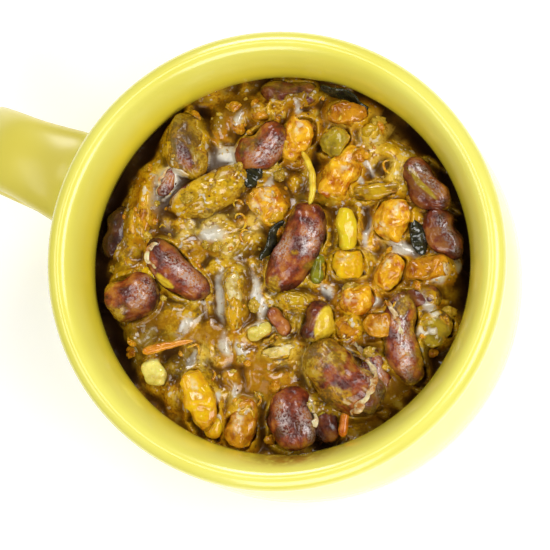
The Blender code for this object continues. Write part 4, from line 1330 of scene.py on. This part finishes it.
def gravy_surface(settings, x, y):
    """Heights and tones of the gravy's top at arrays of places in millimetres."""
    bends = waver(x, y, 21.0), waver(x, y, 31.0)
    bent = x + PLACE_BEND * bends[0], y + PLACE_BEND * bends[1]
    tones = {name: inside_patches(patches, *bent, softness)
             for name, (patches, softness) in GRAVY_PLACES.items()}
    hollow = tones.pop("hollow")
    radius = np.hypot(x, y)
    right_side = np.clip(picture_right(x, y) / radius.clip(1.0), 0.0, 1.0)
    by_wall = smooth_step(*WALL_RADII, radius + 2.5 * right_side ** 2)
    brown_side = np.clip(np.cos(np.arctan2(y, x) - math.radians(BROWN_SIDE_HEADING)), 0.0, 1.0) ** 8
    level = pooled(heap_height(x, y), x, y, bent) - HOLLOW_DROP * hollow - WALL_DROP * by_wall
    level = level + BROWN_SIDE_RISE * brown_side * smooth_step(*BROWN_SIDE_RADII, radius)
    coarse, coarse_number = cell_lumps(x, y, *COARSE_LUMPS)
    fine, fine_number = cell_lumps(x, y, *FINE_LUMPS)
    grain = noise_at(x, y, 0.9, 4.0)
    even = smooth_step(-0.3, 0.2, noise_at(x, y, 7.0, 12.0)) * (1.0 - tones["mash"])
    bumps = (coarse - LUMP_MIDDLE) * COARSE_RISE + (fine - LUMP_MIDDLE) * FINE_RISE * (1.0 - 0.9 * even)
    bumps = bumps + grain * 0.10 * tones["mash"]
    rough = (1.0 - 0.85 * tones["pool"]) * (1.0 - 0.65 * by_wall) * (1.0 - 0.7 * tones["calm"])
    level = blurred(level + settings.relief / MM * bumps * rough, 2)
    top, by_chunk, by_tomato = climbing_gravy(settings, level, x, y, bends, fine)
    top = blurred(top, 1)
    # Painted shade: the gravy is darkened in its creases and broad valleys, found from how far it lies below
    # its smoothed height.
    near_drop = blurred(top, 3) - top
    far_drop = blurred(top, 9) - top
    crease = smooth_step(0.10, 0.65, near_drop + 0.45 * far_drop)
    # Painted shadow in the gap along the wall and in the hollows.
    deep = smooth_step(*GAP_SHADE_HEIGHTS, top) * by_wall * (1.0 - 0.75 * brown_side)
    deep = deep + 0.75 * hollow * smooth_step(*HOLLOW_SHADE_HEIGHTS, top)
    tones["orange"] = np.maximum(tones["orange"], 0.9 * by_tomato)
    tones["lump"] = 0.7 * np.abs(coarse_number) + 0.3 * np.abs(fine_number)
    tones["crease"] = 0.85 * crease * (1.0 - 0.6 * by_chunk)
    tones["valley"] = smooth_step(0.0, 1.0, far_drop)
    tones["ridge"] = smooth_step(0.05, 0.75, -near_drop - 0.4 * far_drop)
    tones["deep"] = np.clip(deep, 0.0, 0.95)
    return top, tones


class RAJMA_OT_gravy(bpy.types.Operator):
    """Fill the mug with thick gravy that climbs up the pieces lying in it"""
    bl_idname = "rajma.gravy"
    bl_label = "Gravy"

    def execute(self, context):
        settings = context.scene.rajma_gravy
        noise.seed_set(NOISE_SEED)
        bm = disc_grid(settings.grid)
        plan = np.array([vert.co[:2] for vert in bm.verts])
        angle = np.arctan2(plan[:, 1], plan[:, 0])
        rim = inner_radius(edge_height(angle)) + EDGE_OVERLAP
        radius = np.hypot(plan[:, 0], plan[:, 1]) * rim
        x, y = radius * np.cos(angle), radius * np.sin(angle)
        top, tones = gravy_surface(settings, x, y)
        for vert, place in zip(bm.verts, zip(x, y, top)):
            vert.co = Vector(place) * MM
        self.add_hidden_side(bm)
        mesh = smooth_mesh("thick gravy", bm)
        for name, values in tones.items():
            hidden = np.zeros(len(mesh.vertices) - len(values))
            set_attribute(mesh, name, np.concatenate((values, hidden)))
        add_piece("thick_gravy", mesh, gravy_finish(settings), ("gravy",))
        return {"FINISHED"}

    def add_hidden_side(self, bm):
        """Close the gravy along the wall and over the mug's floor."""
        edges = [edge for edge in bm.edges if edge.is_boundary]
        for height in HIDDEN_RINGS:
            made = bmesh.ops.extrude_edge_only(bm, edges=edges)["geom"]
            edges = [item for item in made if isinstance(item, bmesh.types.BMEdge)]
            wall = float(inner_radius(height)) - HIDDEN_GAP
            for vert in {vert for edge in edges for vert in edge.verts}:
                turn = math.atan2(vert.co.y, vert.co.x)
                vert.co = Vector((wall * math.cos(turn), wall * math.sin(turn), height)) * MM
        bmesh.ops.edgeloop_fill(bm, edges=edges)
        bmesh.ops.recalc_face_normals(bm, faces=bm.faces)


# ---------------------------------------------------------------- beans

class RAJMA_OT_beans(bpy.types.Operator):
    """Lay the kidney beans, with wrinkled skins and smears of gravy"""
    bl_idname = "rajma.beans"
    bl_label = "Beans"

    def execute(self, context):
        settings = context.scene.rajma_beans
        noise.seed_set(NOISE_SEED)
        skin = bean_finish(settings, context.scene.rajma_gravy)
        for number, bean in enumerate(BEANS):
            mesh = self.bean_mesh(settings, bean, number)
            add_piece("cooked_" + bean.name, mesh, skin, (bean.name,))
        return {"FINISHED"}

    def bean_mesh(self, settings, bean, number):
        """Ball drawn out to a blunt, notched and bent bean with a wrinkled skin."""
        step = settings.fineness / MM
        half_length, half_width = bean.length / 2, bean.width / 2
        half_thickness = half_width * BEAN_THICKNESS_SHARE
        bm = bmesh.new()
        bmesh.ops.create_uvsphere(bm, u_segments=max(16, round(math.pi * bean.width / step / 2) * 2),
                                  v_segments=max(12, round(bean.length / step)), radius=1.0)
        coat, flesh, top = [], [], []
        for vert in bm.verts:
            side, up, along = vert.co
            round_share = math.hypot(side, up)
            fullness = 0.0
            if round_share > 0.001:
                fullness = (1.0 - abs(along) ** BEAN_BLUNTNESS) ** BEAN_FULLNESS / round_share
            side, rise = side * fullness, up * fullness
            notch = BEAN_NOTCH_DEPTH * math.exp(-(along / BEAN_NOTCH_REACH) ** 2) * max(vert.co.x, 0.0)
            place = Vector((along * half_length, side * half_width, rise * half_thickness))
            wrinkle = self.wrinkle(place, number) * settings.wrinkle / MM
            shrink = 1.0 + wrinkle / half_width
            middle = bean.bend * bean.width * (along ** 2 - BEAN_MIDDLE_REST)
            vert.co.x = along * half_length * (1.0 + wrinkle / half_length)
            vert.co.y = (side * shrink - notch) * half_width + middle
            vert.co.z = rise * half_thickness * shrink
            warp = noise.noise_vector((place + Vector((number * 7.0, 0.0, 0.0))) / BEAN_WARP_LENGTH)
            vert.co += warp * BEAN_WARP_DEPTH
            coat.append(self.coat(bean, place, rise, number))
            flesh.append(self.tear(bean, side, along) if up > 0.0 else 0.0)
            top.append(up * min(1.0, fullness * 1.1))
        bm.transform(placement(bean, bean.tilt))
        mesh = smooth_mesh(bean.name, bm)
        x, y, _ = places_of(mesh)
        shine, smear, bare, dim = (inside_patches(patches, x, y, 0.7)
                                   for patches in (SHINE, SMEARS, BARE_SKIN, DARK_GRAVY_AND_SHADE))
        for name, values in (("coat", coat), ("flesh", flesh), ("top", top), ("shine", shine),
                             ("smear", smear - 1.4 * bare), ("dim", dim)):
            set_attribute(mesh, name, values)
        return mesh

    def wrinkle(self, place, number):
        """Relief of the skin of about -1 to 1: soft dents and thin folds along the bean."""
        shifted = place + Vector((number * 13.0, 0.0, 0.0))
        depth, length = SKIN_DENT
        relief = depth * noise.noise(shifted / length)
        for depth, length, width, level in SKIN_FOLDS:
            fold = noise.noise(Vector((shifted.x / length, shifted.y / width, shifted.z / width)))
            relief += depth * (level - abs(fold))
        return relief

    def coat(self, bean, place, rise, number):
        """How thick gravy lies at a place on a bean, thicker low down."""
        if bean.coat >= 1.0:
            return 1.0
        smear = 0.5 + 0.65 * noise.noise(place / 3.2 + Vector((number * 9.0, 0.0, 0.0)))
        smear += 0.45 * noise.noise(place / 1.2 + Vector((0.0, number * 5.0, 0.0)))
        return smear + 0.75 * (0.40 - rise) + bean.coat - 0.5

    def tear(self, bean, side, along):
        """Share of 0 to 1 of bare flesh at a place on a bean's upper side."""
        reaches = [math.hypot((side - tear.across) / tear.width, along / tear.along)
                   for tear in TEARS if tear.piece == bean.name]
        return max((float(smooth_step(1.15, 0.9, reach)) for reach in reaches), default=0.0)


# ---------------------------------------------------------------- vegetables

class RAJMA_OT_vegetables(bpy.types.Operator):
    """Lay the soft tomato, potato, onion and pepper pieces"""
    bl_idname = "rajma.vegetables"
    bl_label = "Vegetables"

    def execute(self, context):
        settings = context.scene.rajma_vegetables
        noise.seed_set(NOISE_SEED)
        gravy = context.scene.rajma_gravy
        finishes = {look: tint_finish(tint, settings, gravy) for look, tint in TINTS.items()}
        for number, chunk in enumerate(CHUNKS):
            kind = chunk.name.split("_")[0]
            finish = finishes[LOOKS.get(chunk.name, kind)]
            mesh = self.chunk_mesh(settings, chunk, number)
            add_piece("cooked_" + chunk.name, mesh, finish, (chunk.name,))
        return {"FINISHED"}

    def chunk_mesh(self, settings, chunk, number):
        """Rounded block, of uneven size and dented, as soft cooked pieces are."""
        shape = random.Random(chunk.name)
        uneven = [1.0 + shape.uniform(-CHUNK_UNEVENNESS, CHUNK_UNEVENNESS) for _ in range(6)]
        depth = settings.unevenness / MM * min(1.0, chunk.width / CHUNK_FULL_WIDTH) ** 1.5
        halves = (chunk.length / 2, chunk.width / 2, chunk.height / 2)
        bm = bmesh.new()
        bmesh.ops.create_cube(bm, size=2.0)
        bmesh.ops.subdivide_edges(bm, edges=bm.edges, cuts=CHUNK_CUTS, use_grid_fill=True)
        coat = []
        for vert in bm.verts:
            size = sum(abs(value) ** CHUNK_ROUNDNESS for value in vert.co) ** (1.0 / CHUNK_ROUNDNESS)
            shares = [value / size for value in vert.co]
            for axis in range(3):
                taper = mix(uneven[axis], uneven[axis + 3], 0.5 + 0.5 * shares[(axis + 1) % 3])
                vert.co[axis] = shares[axis] * halves[axis] * taper
            place = vert.co + Vector((number * 17.0, 0.0, 0.0))
            vert.co += noise.noise_vector(place / 4.0) * depth * 2.1
            dent = 1.1 * noise.noise(place / 2.4) + 0.45 * noise.noise(place / 1.0) - 0.1
            vert.co += vert.co.normalized() * dent * depth
            smear = 0.5 + 0.9 * noise.noise(place / 2.6) + 0.25 * noise.noise(place / 1.0)
            coat.append(smear + 0.9 * (0.45 - shares[2]) + chunk.coat - 0.42)
        bm.transform(placement(chunk, chunk.tilt))
        mesh = smooth_mesh(chunk.name, bm)
        x, y, _ = places_of(mesh)
        set_attribute(mesh, "coat", coat)
        set_attribute(mesh, "film", inside_patches(VEGETABLE_GLARE, x, y, 0.6))
        return mesh


class RAJMA_OT_slivers(bpy.types.Operator):
    """Lay the slivers of ginger and chilli, and the shreds of tomato and bean skin"""
    bl_idname = "rajma.slivers"
    bl_label = "Slivers and skins"

    def execute(self, context):
        settings = context.scene.rajma_vegetables
        gravy = context.scene.rajma_gravy
        for strip in STRIPS:
            mesh = smooth_mesh(strip.name, self.strip(strip))
            set_attribute(mesh, "coat", STRIP_COAT)
            add_piece("cooked_" + strip.name, mesh, tint_finish(STRIP_TINTS[strip.name], settings, gravy),
                      (strip.name,))
        for name, slot, tint, shreds in (
                ("tomato_skin_curls", "tomato", SKIN_CURL_TINT, [self.curl(curl) for curl in CURLS]),
                ("torn_bean_skins", "bean", TORN_SKIN_TINT, [self.torn_edge(torn) for torn in TORN_SKINS])):
            mesh = joined_mesh(name, shreds)
            set_attribute(mesh, "coat", SHRED_COAT)
            add_piece(name, mesh, tint_finish(tint, settings, gravy))
        return {"FINISHED"}

    def strip(self, strip):
        """Bowed sliver with an uneven edge, narrower towards one end."""
        points, halves = [], []
        for index in range(STRIP_STEPS + 1):
            along = mix(-1.0, 1.0, index / STRIP_STEPS)
            sway = 0.14 * noise.noise(Vector((along * 3.0, strip.x, 0.0)))
            points.append(Vector((along * strip.length / 2, strip.bow * (1.0 - along ** 2) + sway, sway)))
            half = strip.thickness / 2 * (1.0 - STRIP_TAPER * along ** 4) * (1.0 - strip.narrowing * along)
            half *= rounded(along, 12) * (1.0 + 0.12 * noise.noise(Vector((along * 6.0, strip.y, 3.0))))
            halves.append((half, half * STRIP_FLATNESS))
        bm = tube(points, halves, 14)
        bm.transform(placement(strip))
        return bm

    def curl(self, curl):
        """Curled shred of tomato skin that rises a little from the food."""
        base = food_height(curl.x, curl.y) + CURL_LIFT
        points, halves = [], []
        for index in range(CURL_STEPS + 1):
            share = index / CURL_STEPS
            turn = math.radians(curl.heading + curl.arc * (share - 0.5))
            uneven = 0.5 * noise.noise(Vector((share * 3.0, curl.x, curl.y)))
            reach = curl.radius * (1.0 - 0.35 * share + uneven)
            points.append(Vector((curl.x + reach * math.cos(turn), curl.y + reach * math.sin(turn),
                                  base + curl.rise * math.sin(math.pi * share))))
            half = mix(*CURL_HALF_WIDTHS, math.sin(math.pi * share))
            halves.append((half, half * CURL_FLATNESS))
        return tube(points, halves, 8)

    def torn_edge(self, torn):
        """Ragged pale edge where the skin of a bean has come loose."""
        path = curve_through(torn.path, TORN_STEPS)
        points, halves = [], []
        for index, (x, y) in enumerate(path):
            along = mix(-1.0, 1.0, index / (len(path) - 1))
            ragged = noise.noise(Vector((x * 0.5, y * 0.5, 5.0)))
            wavy = noise.noise(Vector((x * 0.8, y * 0.8, 9.0)))
            height = food_height(x, y) - 0.1 + 0.3 * wavy
            points.append(Vector((x + 0.9 * wavy, y - 0.7 * ragged, height)))
            half = torn.width * rounded(along, 6) * (1.0 + 1.1 * ragged)
            halves.append((half, TORN_FLATNESS * torn.width))
        return tube(points, halves, 12)


class RAJMA_OT_leaves(bpy.types.Operator):
    """Lay the dark cooked leaf pieces"""
    bl_idname = "rajma.leaves"
    bl_label = "Leaves"

    def execute(self, context):
        finish = leaf_finish(context.scene.rajma_vegetables)
        for leaf in LEAVES:
            add_piece("cooked_" + leaf.name, self.leaf_mesh(leaf), finish, (leaf.name,))
        return {"FINISHED"}

    def leaf_mesh(self, leaf):
        """Thin cupped leaf, waved along its length and crumpled."""
        bm = bmesh.new()
        bmesh.ops.create_grid(bm, x_segments=30, y_segments=10, size=1.0)
        for vert in bm.verts:
            along, across = vert.co.x, vert.co.y
            vert.co.x = along * leaf.length / 2
            vert.co.y = across * leaf.width / 2 * mix(LEAF_TIP, 1.0, (1.0 - along ** 2) ** 0.8)
            crumple = noise.noise(Vector((vert.co.x / 1.6, vert.co.y / 1.6, leaf.x))) * LEAF_CRUMPLE
            vert.co.z = LEAF_WAVE * math.sin(4.2 * along + leaf.x) - LEAF_CUP * across ** 2 + crumple
        bmesh.ops.solidify(bm, geom=list(bm.faces), thickness=LEAF_THICKNESS)
        middle = sum(vert.co.z for vert in bm.verts) / len(bm.verts)
        bmesh.ops.translate(bm, verts=bm.verts, vec=(0.0, 0.0, -middle))
        bm.transform(placement(leaf, leaf.tilt, leaf.lean))
        return smooth_mesh(leaf.name, bm)


# ---------------------------------------------------------------- crumbs

def scatter_tree(name, finish, rounds):
    """Geometry Nodes that lay small uneven crumbs over a surface."""
    tree = bpy.data.node_groups.new(name, "GeometryNodeTree")
    for label, kind in (("Geometry", "Geometry"), ("Count", "Int"), ("Size", "Float"), ("Seed", "Int"),
                        ("Flatness", "Float")):
        tree.interface.new_socket(label, in_out="INPUT", socket_type="NodeSocket" + kind)
    tree.interface.new_socket("Geometry", in_out="OUTPUT", socket_type="NodeSocketGeometry")

    def add(kind, operation=None, **values):
        """Node of a kind, with some of its inputs set."""
        made = tree.nodes.new(kind)
        if operation:
            made.operation = operation
        for socket, value in values.items():
            made.inputs[socket].default_value = value
        return made

    start, end = add("NodeGroupInput"), add("NodeGroupOutput")
    points = add("GeometryNodeDistributePointsOnFaces")
    points.distribute_method = "RANDOM"
    area = add("GeometryNodeAttributeStatistic")
    area.domain = "FACE"
    face_area = add("GeometryNodeInputMeshFaceArea")
    density = add("ShaderNodeMath", "DIVIDE")
    crumb = add("GeometryNodeMeshIcoSphere", Subdivisions=rounds)
    wobble = add("ShaderNodeTexNoise", Scale=1.9)
    offset = add("ShaderNodeVectorMath", "MULTIPLY_ADD")
    offset.inputs[1].default_value = (1.6, 1.6, 1.6)
    offset.inputs[2].default_value = (-0.8, -0.8, -0.8)
    uneven = add("GeometryNodeSetPosition")
    scale = add("ShaderNodeCombineXYZ", X=0.5, Y=0.38)
    flatten = add("GeometryNodeTransform")
    spread = add("GeometryNodeInstanceOnPoints")
    turn = add("FunctionNodeRandomValue")
    turn.data_type = "FLOAT_VECTOR"
    turn.inputs["Max"].default_value = (0.6, 0.6, 6.28)
    size = add("FunctionNodeRandomValue")
    size.data_type = "FLOAT"
    size.inputs[2].default_value = 0.5
    size.inputs[3].default_value = 1.5
    times = add("ShaderNodeMath", "MULTIPLY")
    realize = add("GeometryNodeRealizeInstances")
    smooth = add("GeometryNodeSetShadeSmooth")
    dress = add("GeometryNodeSetMaterial", Material=finish)
    for source, output, target, entry in (
            (start, "Geometry", points, "Mesh"), (start, "Geometry", area, "Geometry"),
            (face_area, 0, area, "Attribute"), (start, "Count", density, 0), (area, "Sum", density, 1),
            (density, 0, points, "Density"), (start, "Seed", points, "Seed"), (crumb, "Mesh", uneven, 0),
            (wobble, "Color", offset, 0), (offset, 0, uneven, "Offset"), (uneven, 0, flatten, "Geometry"),
            (start, "Flatness", scale, "Z"), (scale, 0, flatten, "Scale"),
            (points, "Points", spread, "Points"), (flatten, 0, spread, "Instance"),
            (turn, 0, spread, "Rotation"), (start, "Seed", size, "Seed"), (start, "Seed", turn, "Seed"),
            (size, 1, times, 0), (start, "Size", times, 1), (times, 0, spread, "Scale"),
            (spread, 0, realize, 0), (realize, 0, smooth, 0), (smooth, 0, dress, "Geometry"),
            (dress, 0, end, 0)):
        tree.links.new(source.outputs[output], target.inputs[entry])
    return tree


class RAJMA_OT_crumbs(bpy.types.Operator):
    """Scatter small crumbs of onion, tomato and spice over the gravy"""
    bl_idname = "rajma.crumbs"
    bl_label = "Crumbs"

    def execute(self, context):
        settings = context.scene.rajma_crumbs
        for shift, crumb in enumerate(CRUMBS):
            label = crumb.name.replace("_", " ")
            finish = chunk_finish(label, crumb.dark, crumb.light, context.scene.rajma_gravy)
            tree = scatter_tree(crumb.name, finish, crumb.rounds)
            ground = add_object(crumb.name + "_ground", self.open_gravy())
            modifier = ground.modifiers.new("scatter", "NODES")
            modifier.node_group = tree
            values = {"Count": round(settings.count * crumb.share), "Size": settings.size * crumb.size,
                      "Seed": settings.seed + 11 * shift, "Flatness": crumb.flatness}
            for item in tree.interface.items_tree:
                if item.name in values and item.in_out == "INPUT":
                    modifier[item.identifier] = values[item.name]
            mesh = evaluated_mesh(ground)
            bpy.data.objects.remove(ground)
            if len(mesh.polygons) == 0:
                raise RuntimeError(f"{crumb.name} came out empty")
            set_attribute(mesh, "coat", SHRED_COAT)
            add_piece(crumb.name, mesh, finish)
        return {"FINISHED"}

    def open_gravy(self):
        """Copy of the gravy's top, without its steep parts and its edge along the wall."""
        bm = bmesh.new()
        bm.from_mesh(bpy.data.objects["thick_gravy"].data)
        away = [face for face in bm.faces if face.normal.z < CRUMB_GROUND_SLOPE
                or face.calc_center_median().to_2d().length > CRUMB_GROUND_RADIUS * MM]
        bmesh.ops.delete(bm, geom=away, context="FACES")
        return plain_mesh("open gravy", bm)


# ---------------------------------------------------------------- stage

def direction(zenith, heading):
    """Way from the middle, by its angle from straight up and its heading."""
    return Vector((math.sin(zenith) * math.cos(heading), math.sin(zenith) * math.sin(heading),
                   math.cos(zenith)))


class RAJMA_OT_stage(bpy.types.Operator):
    """Set the pale floor, the soft lights and the camera"""
    bl_idname = "rajma.stage"
    bl_label = "Stage"

    def execute(self, context):
        settings = context.scene.rajma_stage
        self.add_floor(settings)
        self.add_camera(settings)
        for lamp in LAMPS:
            self.add_light(lamp, settings.side_light * lamp.share)
        world = bpy.data.worlds.new("soft sky")
        world.use_nodes = True
        background = world.node_tree.nodes["Background"]
        background.inputs["Color"].default_value = (1.0, 1.0, 1.0, 1.0)
        background.inputs["Strength"].default_value = settings.sky
        context.scene.world = world
        context.scene.view_settings.view_transform = "Standard"
        return {"FINISHED"}

    def add_floor(self, settings):
        bm = bmesh.new()
        bmesh.ops.create_grid(bm, x_segments=1, y_segments=1, size=4.0)
        mesh = plain_mesh("floor", bm)
        mesh.materials.append(floor_finish(settings))
        floor = add_object("floor", mesh)

    def add_camera(self, settings):
        """Camera over the lip, turned to the heading of the picture's right edge."""
        back = direction(settings.tilt, settings.side)
        place = Vector((0.0, 0.0, LIP_HEIGHT * MM)) + back * settings.distance
        picture_top = math.radians(PICTURE_RIGHT + 90.0)
        right = (-back).cross(Vector((math.cos(picture_top), math.sin(picture_top), 0.0))).normalized()
        data = bpy.data.cameras.new("camera")
        camera = add_object("camera", data)
        turned = Matrix((right, right.cross(-back), back)).transposed().to_4x4()
        camera.matrix_world = Matrix.Translation(place) @ turned
        data.sensor_width = SENSOR_WIDTH
        lip_share = LIP_PIXELS / PICTURE_WIDTH
        data.lens = lip_share * settings.distance / (LIP_RADIUS * MM) * SENSOR_WIDTH
        data.shift_x, data.shift_y = (pixels / PICTURE_WIDTH for pixels in LIP_SHIFT)
        bpy.context.scene.camera = camera

    def add_light(self, lamp, power):
        """Soft light that faces the food, its long side level."""
        toward = direction(math.radians(lamp.zenith), math.radians(lamp.heading + PICTURE_RIGHT))
        data = bpy.data.lights.new(lamp.name, "AREA")
        data.shape = "RECTANGLE"
        data.size, data.size_y = lamp.size
        data.energy = power
        light = add_object(lamp.name, data)
        light.location = toward * LAMP_DISTANCE + Vector((0.0, 0.0, LAMP_AIM_HEIGHT))
        along = Vector((0.0, 0.0, 1.0)).cross(toward).normalized()
        light.rotation_euler = Matrix((along.cross(toward), along, toward)).transposed().to_euler()


# ---------------------------------------------------------------- panel

class RAJMA_PT_panel(bpy.types.Panel):
    """Buttons and settings for the mug of rajma"""
    bl_label = "Mug of rajma"
    bl_idname = "RAJMA_PT_panel"
    bl_space_type = "VIEW_3D"
    bl_region_type = "UI"
    bl_category = "Rajma"

    def draw(self, context):
        for operators, group in STEPS:
            box = self.layout.box()
            for operator in operators:
                box.operator(operator.bl_idname)
            settings = getattr(context.scene, group)
            for name in settings.bl_rna.properties.keys():
                if name not in ("rna_type", "name"):
                    box.prop(settings, name)


GROUPS = {
    "rajma_mug": RajmaMugSettings, "rajma_gravy": RajmaGravySettings, "rajma_beans": RajmaBeanSettings,
    "rajma_vegetables": RajmaVegetableSettings, "rajma_crumbs": RajmaCrumbSettings,
    "rajma_stage": RajmaStageSettings,
}
STEPS = (
    ((RAJMA_OT_mug,), "rajma_mug"),
    ((RAJMA_OT_gravy,), "rajma_gravy"),
    ((RAJMA_OT_beans,), "rajma_beans"),
    ((RAJMA_OT_vegetables, RAJMA_OT_slivers, RAJMA_OT_leaves), "rajma_vegetables"),
    ((RAJMA_OT_crumbs,), "rajma_crumbs"),
    ((RAJMA_OT_stage,), "rajma_stage"),
)


def register():
    for name, group in GROUPS.items():
        bpy.utils.register_class(group)
        setattr(bpy.types.Scene, name, PointerProperty(type=group))
    for operators, _ in STEPS:
        for operator in operators:
            bpy.utils.register_class(operator)
    bpy.utils.register_class(RAJMA_PT_panel)


def unregister():
    bpy.utils.unregister_class(RAJMA_PT_panel)
    for operators, _ in reversed(STEPS):
        for operator in reversed(operators):
            bpy.utils.unregister_class(operator)
    for name, group in reversed(GROUPS.items()):
        delattr(bpy.types.Scene, name)
        bpy.utils.unregister_class(group)


def main():
    register()
    bpy.ops.rajma.mug()
    bpy.ops.rajma.gravy()
    bpy.ops.rajma.beans()
    bpy.ops.rajma.vegetables()
    bpy.ops.rajma.slivers()
    bpy.ops.rajma.leaves()
    bpy.ops.rajma.crumbs()
    bpy.ops.rajma.stage()


if __name__ == "__main__":
    main()
